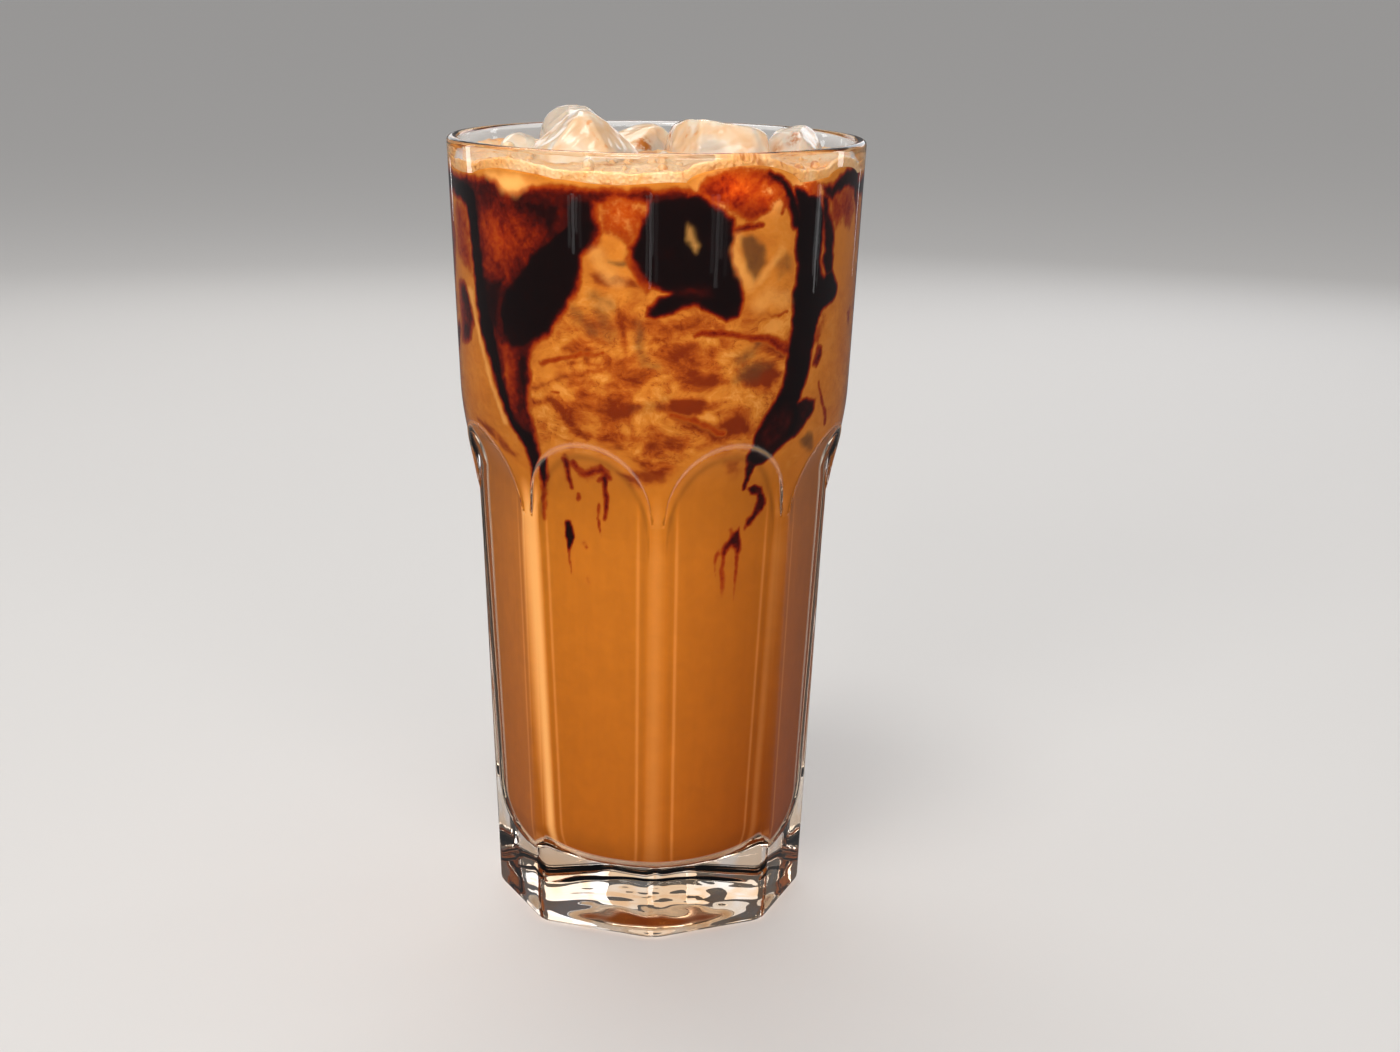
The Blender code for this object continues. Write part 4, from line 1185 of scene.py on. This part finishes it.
@dataclass
class Drink:
    """The coffee's side, reaching just into the wall, with the syrup's marks kept on it.

    Crests are humps of the upper edge (degrees, half width, height in mm, power), swells
    its waves (height, count, phase), ripples the wander of the marks (two scales, place,
    strength in mm), and the lit spots are painted pools of light (degrees, height, two widths,
    strength).
    """

    form: GlassForm
    level: float = 161.4 * MM
    reach: float = 0.08 * MM
    lens: float = 1.045
    low_lens: float = 1.10
    fade: float = 2.1
    drop: float = 0.4
    far: float = 50.0
    ripples: tuple[tuple[float, float, float, float], ...] = (
        (0.19, 0.16, 3.0, 0.55), (0.58, 0.5, 9.0, 0.40))
    crests: tuple[tuple[float, float, float, float], ...] = (
        (25, 17, 3.3, 0.6), (-44, 16, 1.3, 1.0), (63, 9, 1.4, 0.6))
    swells: tuple[tuple[float, float, float], ...] = ((0.25, 7, 0), (0.18, 13, 1))
    painted_lit_spots: tuple[tuple[float, float, float, float, float], ...] = (
        (21, 160.5, 7.5, 3.0, 1.5), (32, 159.0, 5.0, 3.0, 0.8), (44.5, 160.4, 4.0, 2.4, 1.0),
        (-9, 155.5, 5.0, 3.4, 0.45), (-44, 160.0, 9.0, 1.8, 0.5), (-48, 149, 6.0, 4.0, 0.35))
    front: float = math.radians(84)
    front_columns: int = 300
    back_columns: int = 196
    bands: tuple[tuple[float, int], ...] = ((78 * MM, 10), (97 * MM, 20), (math.inf, 148))
    floor_rows: int = 3
    bowl_rows: int = 10
    under_foam: float = 0.9 * MM
    lowest_mark: float = 70.0
    front_end: float = 80.0
    front_fade: float = 9.0
    back_end: float = 88.0
    back_fade: float = 10.0
    back_squeeze: float = 0.90
    back_turn: float = 4.0
    back_lift: float = 2.2

    def angles(self) -> np.ndarray:
        """Angles from the front, close together at the front and wider at the back.

        Returns:
            The angles.
        """
        front = np.linspace(-self.front, self.front, self.front_columns, endpoint=False)
        back = np.linspace(self.front, 2 * math.pi - self.front, self.back_columns,
                           endpoint=False)
        return np.concatenate([front, back])

    def top(self, angle: float) -> float:
        """Height of the drink's upper edge at the wall.

        Args:
            angle: Angle from the front.

        Returns:
            The height above the table.
        """
        degrees = math.degrees(math.atan2(math.sin(angle), math.cos(angle)))
        crest = sum(high * max(0.0, 1 - ((degrees - middle) / wide) ** 2) ** power
                    for middle, wide, high, power in self.crests)
        wave = sum(high * math.sin(count * angle + phase)
                   for high, count, phase in self.swells)
        return self.level + (crest + wave) * MM

    def profile(self, angle: float) -> list[tuple[float, float]]:
        """Rows of (radius, height) from the bottom's centre up the wall and in again.

        Args:
            angle: Angle from the front.

        Returns:
            One (radius, height) for each row.
        """
        form = self.form
        centre = form.floor_top - form.floor_corner
        corner = form.floor_corner + self.reach
        low = form.floor - self.reach
        rows = [(centre * step / self.floor_rows, low) for step in range(self.floor_rows + 1)]
        for step in range(1, self.bowl_rows + 1):
            turn = math.pi / 2 * step / self.bowl_rows
            rows.append((centre + corner * math.sin(turn),
                         form.floor + form.floor_corner - corner * math.cos(turn)))
        start, top = form.floor + form.floor_corner, self.top(angle)
        for mark, count in self.bands:
            end = min(mark, top)
            heights = [start + (end - start) * step / count for step in range(1, count + 1)]
            rows += [(form.hollow(height) + self.reach, height) for height in heights]
            start = end
        edge, lid = form.hollow(top), self.level - self.under_foam
        rows.append((edge - 0.8 * MM, top + 0.1 * MM))
        rows += [(edge * share, lid) for share in (0.93, 0.5, 0.0)]
        return rows

    def fields(self, degrees: np.ndarray, heights: np.ndarray) -> dict[str, np.ndarray]:
        """Numbers of all attributes at places on the wall.

        Args:
            degrees: Angles from the front.
            heights: Heights in millimetres.

        Returns:
            One array of numbers for each attribute.
        """
        found = {name: np.zeros(len(degrees)) for name in ("syrup", "cream", "ice", "stain")}
        rear = degrees - 180 * np.sign(degrees)
        lift = self.back_lift * np.sin(np.radians(rear) * 4 + 0.6)
        front = climb(np.abs(degrees), self.front_end, -self.front_fade)
        back = climb(np.abs(rear), self.back_end, -self.back_fade)
        for marks, turned, high, window in (
                (POOLS + STROKES, degrees, heights, front),
                (POOLS + STROKES, self.back_squeeze * rear + self.back_turn, heights + lift,
                 back),
                (SIDE_STROKES, degrees, heights, np.ones(len(degrees)))):
            kept = np.flatnonzero((window > 0) & (heights > self.lowest_mark))
            layers = self.painted(marks, turned[kept], high[kept])
            for name, layer in layers.items():
                shown = layer * smooth(window[kept])
                found[name][kept] = np.maximum(found[name][kept], shown)
        wrapped = np.where(np.abs(degrees) > 90, np.sign(degrees) * (180 - np.abs(degrees)),
                           degrees)
        found.update(self.shades(degrees, wrapped, heights))
        return found

    def painted(self, marks: tuple[Pool | Stroke, ...], degrees: np.ndarray,
                heights: np.ndarray) -> dict[str, np.ndarray]:
        """Layers of some marks at places on the wall.

        Args:
            marks: Pools and strokes, lower ones first.
            degrees: Angles in the marks' own frame.
            heights: Heights in millimetres.

        Returns:
            One array of layers for each zone.
        """
        radius = np.array([self.form.hollow(value * MM) / MM for value in
                           np.clip(heights, 24, 167)])
        arc = np.radians(degrees) * radius
        wander = np.array([sum((noise.noise_vector(Vector((a * wide, z * tall, place))) * more
                                for wide, tall, place, more in self.ripples), Vector())
                           for a, z in zip(arc, heights)])
        across, up = arc + wander[:, 0], heights + wander[:, 1]
        found = {name: np.zeros(len(arc)) for name in ("syrup", "cream", "ice", "stain")}
        for mark in marks:
            inside = (self.within if isinstance(mark, Pool) else self.inside)(
                mark, radius, across, up)
            layer = mark.depth * smooth(np.clip(inside / (mark.soft * self.fade) + 0.5, 0, 1))
            if mark.zone is Zone.BARE:
                found["syrup"] = np.maximum(found["syrup"] - layer, 0)
            elif mark.zone is Zone.SYRUP:
                below = found["syrup"]
                found["syrup"] = np.maximum(below, layer) + 0.10 * np.minimum(below, layer)
            else:
                name = mark.zone.value
                found[name] = np.maximum(found[name], layer)
        found["syrup"] = np.minimum(found["syrup"], 1.0)
        return found

    def legs(self, points: tuple[tuple[float, ...], ...], radius: np.ndarray,
             across: np.ndarray, up: np.ndarray) -> Iterator[tuple[np.ndarray, ...]]:
        """Each leg of a line on the wall, as the places see it, in mm.

        Args:
            points: Points of the line, starting with degrees and height.
            radius: Radius of the wall at each place.
            across: Arc length of each place.
            up: Height of each place.

        Yields:
            The leg's start across and up, its run across and up, the share along it that
            is nearest to each place and the distance to it.
        """
        turn = math.radians(self.lens)
        for first, second in zip(points, points[1:]):
            ax, az = first[0] * turn * radius, first[1] - self.drop
            dx, dz = second[0] * turn * radius - ax, second[1] - self.drop - az
            share = np.clip(((across - ax) * dx + (up - az) * dz)
                            / (dx * dx + dz * dz + TINY), 0, 1)
            yield ax, az, dx, dz, share, np.hypot(across - ax - dx * share,
                                                  up - az - dz * share)

    def inside(self, stroke: Stroke, radius: np.ndarray, across: np.ndarray,
               up: np.ndarray) -> np.ndarray:
        """How far inside a stroke each place is, in mm.

        Args:
            stroke: The stroke.
            radius: Radius of the wall at each place.
            across: Arc length of each place.
            up: Height of each place.

        Returns:
            Distances, below 0 outside the stroke.
        """
        nearest = np.full(len(across), -self.far)
        widths = [point[2] for point in stroke.points]
        for (*_, share, away), first, second in zip(
                self.legs(stroke.points, radius, across, up), widths, widths[1:]):
            nearest = np.maximum(nearest, first + (second - first) * share - away)
        return nearest

    def within(self, pool: Pool, radius: np.ndarray, across: np.ndarray,
               up: np.ndarray) -> np.ndarray:
        """How far inside a pool's outline each place is, in mm.

        Args:
            pool: The pool.
            radius: Radius of the wall at each place.
            across: Arc length of each place.
            up: Height of each place.

        Returns:
            Distances, below 0 outside the outline.
        """
        nearest = np.full(len(across), self.far)
        crossed = np.zeros(len(across), dtype=bool)
        closed = pool.outline + pool.outline[:1]
        for ax, az, dx, dz, _, away in self.legs(closed, radius, across, up):
            nearest = np.minimum(nearest, away)
            if dz != 0:
                spans = (az > up) != (az + dz > up)
                crossed ^= spans & (across < ax + (up - az) / dz * dx)
        return np.where(crossed, nearest, -nearest)

    def shades(self, degrees: np.ndarray, wrapped: np.ndarray,
               heights: np.ndarray) -> dict[str, np.ndarray]:
        """Painted shade low and on the right (low down also deeper coffee), painted light along
        the ridges, and the milk's marbling.

        Args:
            degrees: Angles from the front.
            wrapped: The same, with the back folded onto the front.
            heights: Heights in millimetres.

        Returns:
            The tone, the milkiness, the marbled share and the brightness.
        """
        # Painted shade: darker on the right and low down; low down it also stands for deeper
        # coffee.
        low = climb(heights, 118, -95)
        right = climb(wrapped, -10, 60)
        tone = np.clip(0.02 + 0.42 * low * low + 0.16 * low
                       + 0.42 * right * np.clip(low * 2.4, 0, 1), 0, 1)
        seen = np.where(np.abs(degrees) > 90,
                        np.sign(degrees) * (180 - (180 - np.abs(degrees)) / self.low_lens),
                        degrees / self.low_lens)
        pitch = 360 / self.form.sides
        ridges = (seen - math.degrees(self.form.ridge_turn) + pitch / 2) % pitch - pitch / 2
        foot = 106.0 - 7.0 * bell(ridges, 0, 7)
        band = climb(heights, foot, 4) * climb(heights, 146, -12, 0.25)
        marble = band * (0.22 + 0.78 * climb(np.abs(wrapped), 44, -5)
                         + 0.6 * bell(np.abs(degrees), 92, 14))
        bare = bell(wrapped, -33, 6) * bell(heights, 124, 5)
        bare += bell(wrapped, 31, 6) * bell(heights, 138, 4)
        marble *= 1 - 0.85 * np.clip(bare, 0, 1)
        milk = climb(heights, 98, 14) * 0.8
        # Painted light along the ridges below 100 mm, stronger on the left, with a thin bright
        # and a thin dark line beside each ridge.
        lit = np.where((degrees < -20) & (degrees > -100), 0.95, 0.15)
        painted_light = 1 + climb(heights, 100, -8) * (lit * bell(ridges, -0.4, 1.9)
                                              + 0.20 * bell(np.abs(ridges), 5.4, 0.7)
                                              - 0.10 * bell(np.abs(ridges), 3.6, 1.0))
        panel = (ridges + pitch) % pitch - pitch / 2
        half = math.degrees(self.form.panel_half)
        arch = (self.form.arch_foot + self.form.arch_rise
                * np.sqrt(np.clip(1 - (panel / half) ** 2, 0, 1))) / MM
        over = heights + 0.85 - arch
        steep = 1 + 1.6 * (np.abs(panel) / half) ** 4
        # Painted shade just under each arch and in the panel below it.
        painted_light -= 0.22 * bell(over, -1.6 * steep, steep) * (np.abs(panel) < half)
        painted_light -= 0.10 * climb(heights, arch, -2) * climb(heights, 84, 8)
        # Painted pools of light on the syrup near the drink's upper edge.
        for middle, height, wide, tall, more in self.painted_lit_spots:
            painted_light += more * bell(wrapped, middle, wide) * bell(heights, height, tall)
        return {"tone": tone, "milk": milk, "marble": marble, "painted_light": painted_light}

    def build(self) -> bpy.types.Object:
        """Make the drink and keep the strokes' distances on it.

        Returns:
            The piece.
        """
        angles = self.angles()
        profiles = [self.profile(float(angle)) for angle in angles]
        mesh = spun_grid(len(profiles[0]), len(angles))
        for spot in mesh.verts:
            row, column = grid_place(spot, len(angles))
            radius, height = profiles[column][row]
            angle = float(angles[column]) - math.pi / 2
            spot.co = (radius * math.cos(angle), radius * math.sin(angle), height)
        piece = settle(mesh, "coffee_body")
        places = np.empty(len(piece.data.vertices) * 3)
        piece.data.vertices.foreach_get("co", places)
        places = places.reshape(-1, 3)
        degrees = np.degrees(np.arctan2(places[:, 0], -places[:, 1]))
        for name, values in self.fields(degrees, places[:, 2] / MM).items():
            kept = piece.data.attributes.new(name, "FLOAT", "POINT")
            kept.data.foreach_set("value", values.astype(np.float32))
        piece.data.materials.append(SyrupAndMilk().make())
        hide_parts("coffee")
        return piece


@dataclass
class FoamLayer:
    """Foam over the drink: a thin lid with bubbles, drawn up a little at the wall.

    Piles are heaps of foam at the wall (x, y, two widths, height), in millimetres.
    """

    form: GlassForm
    drink: Drink
    surface: float = 162.7 * MM
    rings: int = 60
    columns: int = 220
    bubbles: int = 240
    seed: int = 11
    piles: tuple[tuple[float, float, float, float, float], ...] = (
        (-34, 4, 7, 14, 3.0), (36, -4, 6, 9, 1.7))
    wall_rows: int = 5
    under_rows: int = 3
    sizes: tuple[float, ...] = (0.35, 0.5, 0.6, 0.8, 1.1)

    def height(self, angle: float, radius: float) -> float:
        """Height of the foam at a place.

        Args:
            angle: Angle round the axis, from the right.
            radius: Distance from the axis.

        Returns:
            The height above the table.
        """
        share = radius / self.form.hollow(self.surface)
        x, y = radius * math.cos(angle) / MM, radius * math.sin(angle) / MM
        lump = noise.fractal(Vector((x * 0.16, y * 0.16, 0.3)), 0.6, 2.1, 5)
        small = noise.fractal(Vector((x * 0.7, y * 0.7, 4.0)), 0.5, 2.0, 3)
        rise = max(0.0, self.drink.top(angle + math.pi / 2) - self.drink.level)
        wall = rise * share ** 14 + 0.7 * MM * share ** 30
        for px, py, wide, deep, high in self.piles:
            wall += high * MM * math.exp(-((x - px) / wide) ** 2 - ((y - py) / deep) ** 2)
        return self.surface + wall + (0.45 * lump + 0.16 * small) * MM

    def build(self) -> list[bpy.types.Object]:
        """Make the lid and its bubbles.

        Returns:
            The two pieces.
        """
        rim = self.under_rows + self.wall_rows
        mesh = spun_grid(self.rings + rim, self.columns)
        for spot in mesh.verts:
            row, column = grid_place(spot, self.columns)
            angle = 2 * math.pi * column / self.columns
            low = self.drink.top(angle + math.pi / 2) - 0.25 * MM
            top = self.height(angle, self.form.hollow(self.surface))
            if row < self.under_rows:
                reach = self.form.hollow(low) - 1.2 * MM
                spot.co = self.at(angle, reach * row / self.under_rows, low)
            elif row < rim:
                share = (row - self.under_rows) / self.wall_rows
                z = low + (top - low) * share
                spot.co = self.at(angle, self.form.hollow(z) + 0.05 * MM, z)
            else:
                share = 1 - (row - rim) / (self.rings - 1)
                radius = (self.form.hollow(self.surface) - 0.1 * MM) * share ** 0.8
                spot.co = self.at(angle, radius, self.height(angle, radius))
        pieces = [settle(mesh, "foam_lid"), self.froth()]
        foam = Foam().make()
        for piece in pieces:
            piece.data.materials.append(foam)
            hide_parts("coffee")
        return pieces

    @staticmethod
    def at(angle: float, radius: float, height: float) -> Point:
        """Place from an angle, a radius and a height."""
        return radius * math.cos(angle), radius * math.sin(angle), height

    def froth(self) -> bpy.types.Object:
        """Loose bubbles standing in the foam, most of them near the wall.

        Returns:
            The piece.
        """
        draw = random.Random(self.seed)
        mesh = bmesh.new()
        for _ in range(self.bubbles):
            angle = draw.uniform(-math.pi, math.pi)
            edge = self.form.hollow(self.surface) - 1.2 * MM
            radius = edge * (1 - abs(draw.gauss(0, 0.28)))
            if radius < 2 * MM:
                continue
            size = draw.choice(self.sizes) * MM
            height = self.height(angle, radius) - 0.25 * size
            spot = Matrix.Translation(self.at(angle, radius, height))
            bmesh.ops.create_icosphere(mesh, subdivisions=2, radius=size, matrix=spot)
        return settle(mesh, "foam_bubbles")


@dataclass
class IcePiece:
    """One melted block of ice, from a ball pushed out to a box with flats.

    Sizes are in millimetres. The flats are (direction, distance from the centre), and the
    spots are places stained by syrup, each with its radius.
    """

    node: str
    centre: Point
    halves: Point
    turn: Point
    roundness: float
    flats: tuple[tuple[Point, float], ...]
    frost: float = 0.5
    lumps: float = 0.26
    melt: float = 0.20
    rings: int = 7
    columns: int = 13
    spots: tuple[tuple[float, float, float, float], ...] = ()
    detail: int = 6

    def planes(self) -> tuple[np.ndarray, np.ndarray]:
        """Directions and distances of the block's flats, in mm from its centre.

        Returns:
            The directions and the distances.
        """
        turned = Euler([math.radians(value) for value in self.turn]).to_matrix()
        rings: list[list[Vector]] = []
        for level in range(self.rings + 1):
            up = math.pi * (level / self.rings - 0.5)
            rings.append([])
            for index in range(self.columns):
                turn = 2 * math.pi * (index + 0.5) / self.columns
                parts = (math.cos(up) * math.cos(turn), math.cos(up) * math.sin(turn),
                         math.sin(up))
                swollen = [half * math.copysign(abs(part) ** self.roundness, part)
                           for half, part in zip(self.halves, parts)]
                rings[-1].append(turned @ Vector(swollen))
        found = {}
        for below, above in zip(rings, rings[1:]):
            for index in range(self.columns):
                rim = max((ring[index] - ring[index - 1] for ring in (below, above)),
                          key=lambda side: side.length)
                out = rim.cross(above[index] - below[index]).normalized()
                found[tuple(out)] = out.dot(above[index])
        for direction, distance in self.flats:
            found[tuple(Vector(direction).normalized())] = distance
        return np.array(list(found)), np.array([abs(value) for value in found.values()])

    def build(self) -> bpy.types.Object:
        """Make the piece and dress it.

        Returns:
            The piece.
        """
        mesh = bmesh.new()
        bmesh.ops.create_icosphere(mesh, subdivisions=self.detail, radius=1.0)
        normals, distances = self.planes()
        outs = np.array([spot.co.normalized() for spot in mesh.verts])
        limits = distances / np.maximum(0.05, outs @ normals.T)
        least = limits.min(axis=1)
        melted = least - self.melt * np.log(
            np.exp((least[:, None] - limits) / self.melt).sum(axis=1))
        centre = Vector(self.centre)
        for spot, out, reach in zip(mesh.verts, outs, melted):
            out = Vector(out)
            place = centre + out * float(reach)
            wander = noise.noise_vector(place * 0.13) * self.lumps
            dent = abs(noise.noise(place * 0.24 + Vector((7, 1, 3)))) * self.lumps * 1.5
            dent += abs(noise.noise(place * 0.5)) * self.lumps * 0.3
            spot.co = (place + wander - out * (0.05 + dent)) * MM
        piece = settle(mesh, self.node + "_block")
        piece.data.materials.append(MeltingIce(
            frost=self.frost, spots=self.spots).make(self.node + "_ice"))
        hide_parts(self.node)
        return piece


@dataclass
class IceCrumbs:
    """Chips of ice and clots of foam lying between the blocks, most of them at the left."""

    level: float = 163.2
    chips: int = 46
    seed: int = 5

    def build(self) -> bpy.types.Object:
        """Make all the chips as one piece.

        Returns:
            The piece.
        """
        draw = random.Random(self.seed)
        mesh = bmesh.new()
        for index in range(self.chips):
            left = index % 2 == 0
            angle = math.radians(draw.uniform(135, 225) if left else draw.uniform(0, 360))
            radius = draw.uniform(24, 37) if left else draw.uniform(6, 36)
            size = draw.uniform(0.7, 2.1 if left else 1.4)
            made = bmesh.ops.create_icosphere(mesh, subdivisions=3, radius=1.0)
            centre = Vector((radius * math.cos(angle), radius * math.sin(angle),
                             self.level + size * draw.uniform(-0.1, 0.35)))
            shape = Vector([draw.uniform(0.6, 1.2) for _ in range(3)])
            for spot in made["verts"]:
                out = spot.co.copy()
                bulge = 1 - 0.35 * abs(noise.noise(out * 1.4 + centre))
                spot.co = (centre + Vector(a * b for a, b in zip(out, shape)) * size * bulge) * MM
        piece = settle(mesh, "ice_crumbs")
        piece.data.materials.append(MeltingIce(frost=0.40).make("crumb_ice"))
        return piece


ICE: tuple[IcePiece, ...] = (
    IcePiece("ice_left", (-15.0, -13.6, 160.0), (11.4, 10.0, 10.4), (34, 41, 18), 0.52,
             (((0.1, -1.0, 0.75), 9.8), ((-0.9, -0.3, 0.9), 10.4)), 0.36),
    IcePiece("ice_left_back", (-17.8, 11.4, 163.0), (7.2, 7.6, 10.2), (6, -8, 24), 0.76,
             (((-0.8, -0.5, 0.9), 8.2),), 0.62),
    IcePiece("ice_left_small", (-30.0, 0.2, 161.8), (4.2, 6.4, 5.8), (12, 24, -10), 0.62,
             (((0.4, -0.6, 0.8), 5.0),), 0.45),
    IcePiece("ice_back", (-2.8, 23.6, 159.4), (7.4, 6.6, 8.3), (14, -18, 30), 0.58,
             (((0.6, -0.7, 0.7), 6.9),), 0.45, spots=((-2.6, 17.0, 164.2, 3.4),)),
    IcePiece("ice_centre", (12.2, 1.6, 160.1), (10.4, 11.4, 10.6), (-5, 8, 10), 0.42,
             (((-0.85, -0.55, 0.6), 10.6), ((0.0, -0.9, 0.8), 12.0)), 0.44),
    IcePiece("ice_right", (30.0, 9.4, 160.4), (6.2, 8.2, 8.8), (8, -12, -14), 0.60,
             (((0.8, -0.3, 0.8), 6.9), ((-0.7, -0.6, 0.7), 7.2)), 0.55,
             spots=((28.6, 3.6, 167.6, 3.4), (24.6, 4.6, 165.4, 3.0))),
)


@dataclass
class Studio:
    """Pale floor, soft lights and the camera at the photo's angle."""

    camera_place: Point = (0.0, -0.4985, 0.2063)
    yaw: float = 0.0206
    pitch: float = 0.2427
    roll: float = 0.015
    sensor: float = 36.0
    lens: float = 2345.6 / 1400 * 36
    wall_radius: float = 0.042
    steep_lean: float = 0.048
    low_lean: float = 0.045

    def floor(self) -> None:
        """Large pale floor a hair under the glass."""
        mesh = bmesh.new()
        bmesh.ops.create_grid(mesh, x_segments=8, y_segments=8, size=40.0)
        bmesh.ops.translate(mesh, verts=mesh.verts, vec=(0, 0, -0.0003))
        data = bpy.data.meshes.new("floor")
        mesh.to_mesh(data)
        mesh.free()
        floor = bpy.data.objects.new("floor", data)
        bpy.context.scene.collection.objects.link(floor)
        finish = Finish("floor_paint")
        finish.surface(Base_Color=(0.74, 0.72, 0.70), Roughness=0.7, Specular_IOR_Level=0.1)
        data.materials.append(finish.material)
        floor.visible_glossy = False

    def panel(self, name: str, place: Point, size: tuple[float, float], power: float,
              colour: Colour = WHITE, aim: Point = (0, 0, 0.1)) -> None:
        """Soft rectangular light aimed at the glass.

        Args:
            name: Name of the light.
            place: Its middle.
            size: Width and height.
            power: Power in watts.
            colour: Its colour.
            aim: What it faces.
        """
        light = bpy.data.lights.new(name, "AREA")
        light.shape = "RECTANGLE"
        light.size, light.size_y = size
        light.energy = power
        light.color = colour
        lamp = bpy.data.objects.new(name, light)
        lamp.location = place
        lamp.rotation_euler = (Vector(aim) - Vector(place)).to_track_quat("-Z", "Y").to_euler()
        bpy.context.scene.collection.objects.link(lamp)

    def glint(self, name: str, angle: float, low: float, high: float, width: float,
              bright: float, away: float = 0.34) -> None:
        """Thin upright light that the wall mirrors to the camera as a streak.

        Args:
            name: Name of the light.
            angle: Direction of the wall there, in degrees from the front.
            low: Height of the streak's lower end on the wall.
            high: Height of its upper end.
            width: Width of the light.
            bright: Radiance of the light.
            away: Distance from the wall.
        """
        turn = math.radians(angle)
        lean = self.steep_lean if low > 0.11 else self.low_lean
        normal = Vector((math.sin(turn), -math.cos(turn), -lean)).normalized()
        ends = []
        for height in (low, high):
            spot = Vector((self.wall_radius * normal.x, self.wall_radius * normal.y, height))
            view = (spot - Vector(self.camera_place)).normalized()
            ends.append(spot + (view - 2 * view.dot(normal) * normal) * away)
        middle = (ends[0] + ends[1]) / 2
        tall = max(0.02, abs(ends[1].z - ends[0].z))
        aside = Vector((-middle.y, middle.x, 0.0)).normalized()
        for index, (step, part, share) in enumerate(((0.0, 1.0, 1.0), (-0.9, 0.8, 0.45),
                                                     (0.8, 0.62, 0.6), (1.7, 0.9, 0.22))):
            spot = middle + aside * step * width * 0.5
            spot.z = max(middle.z + tall * (1 - part) * 0.35, tall * part / 2 + 0.004)
            area = math.pi * width * 0.36 * tall * part
            self.panel(f"{name}_{index}", tuple(spot), (width * 0.36, tall * part),
                       bright * share * area, aim=(0.0, 0.0, spot.z))

    def lights(self) -> None:
        """Key from the left, thin lights for upright glints, boxes behind the base."""
        self.panel("key_left", (-0.62, -1.42, 0.60), (0.8, 0.7), 11.0, (1.0, 0.985, 0.96))
        self.panel("fill_front", (0.62, -1.45, 0.5), (0.7, 0.5), 5.5)
        self.panel("top_back", (-0.15, 0.55, 0.95), (0.6, 0.4), 2.4)
        self.panel("top_front", (-0.12, -0.30, 0.78), (0.22, 0.22), 1.5, (1.0, 0.98, 0.95),
                   aim=(0, 0, 0.17))
        for name, *sizes in (("mid", -1.5, 0.141, 0.160, 0.026, 0.75),
                             ("block", 16.0, 0.140, 0.160, 0.036, 0.45),
                             ("diagonal", -22.0, 0.147, 0.160, 0.030, 0.75),
                             ("stream", 48.0, 0.138, 0.163, 0.020, 1.3),
                             ("edge", -76.0, 0.150, 0.166, 0.008, 3.0),
                             ("far", 73.0, 0.140, 0.166, 0.006, 1.6)):
            self.glint("glint_" + name, *sizes)
        for name, place, size, power, colour in (
                ("left", (-0.26, 0.90, 0.36), (0.30, 0.30), 0.30, WHITE),
                ("mid", (0.02, 0.95, 0.46), (0.30, 0.20), 0.15, (1.0, 0.86, 0.70)),
                ("right", (0.36, 0.90, 0.40), (0.40, 0.36), 0.72, (0.92, 0.95, 1.0))):
            self.panel("box_back_" + name, place, size, power, colour, aim=(0, 0, 0.01))
        self.panel("box_side_left", (-0.75, 0.45, 0.25), (0.08, 0.4), 0.35)
        self.panel("box_side_right", (0.80, 0.40, 0.28), (0.10, 0.4), 0.45)
        sun = bpy.data.lights.new("ceiling", "SUN")
        sun.energy, sun.angle = 1.0, math.radians(80)
        ceiling = bpy.data.objects.new("ceiling", sun)
        ceiling.rotation_euler = (math.radians(-12), math.radians(-8), 0)
        bpy.context.scene.collection.objects.link(ceiling)
        world = bpy.data.worlds.new("studio_sky")
        world.use_nodes = True
        sky = world.node_tree.nodes["Background"]
        sky.inputs["Color"].default_value = (0.93, 0.94, 0.97, 1.0)
        sky.inputs["Strength"].default_value = 0.13
        bpy.context.scene.world = world

    def camera(self) -> None:
        """Camera fitted to the outline in the photo."""
        forward = Vector((math.sin(self.yaw) * math.cos(self.pitch),
                          math.cos(self.yaw) * math.cos(self.pitch), -math.sin(self.pitch)))
        right = Vector((math.cos(self.yaw), -math.sin(self.yaw), 0.0))
        up = right.cross(forward)
        across = right * math.cos(self.roll) + up * math.sin(self.roll)
        above = -right * math.sin(self.roll) + up * math.cos(self.roll)
        frame = Matrix((across, above, -forward)).transposed().to_4x4()
        frame.translation = Vector(self.camera_place)
        data = bpy.data.cameras.new("camera")
        data.sensor_width = self.sensor
        data.lens = self.lens
        data.clip_start = 0.01
        camera = bpy.data.objects.new("camera", data)
        camera.matrix_world = frame
        bpy.context.scene.collection.objects.link(camera)
        bpy.context.scene.camera = camera

    def build(self) -> None:
        """Set up the whole studio."""
        self.floor()
        self.lights()
        self.camera()
        bpy.context.scene.view_settings.view_transform = "Standard"
        bpy.context.scene.view_settings.look = "None"


def main() -> None:
    """Build the studio and every piece, and note the sizes."""
    logging.basicConfig(level=logging.INFO, format="%(message)s")
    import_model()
    noise.seed_set(NOISE_SEED)
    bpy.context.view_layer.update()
    Studio().build()
    form = GlassForm()
    Tumbler(form).build()
    drink = Drink(form)
    drink.build()
    FoamLayer(form, drink).build()
    for ice in ICE:
        ice.build()
    IceCrumbs().build()


if __name__ == "__main__":
    main()
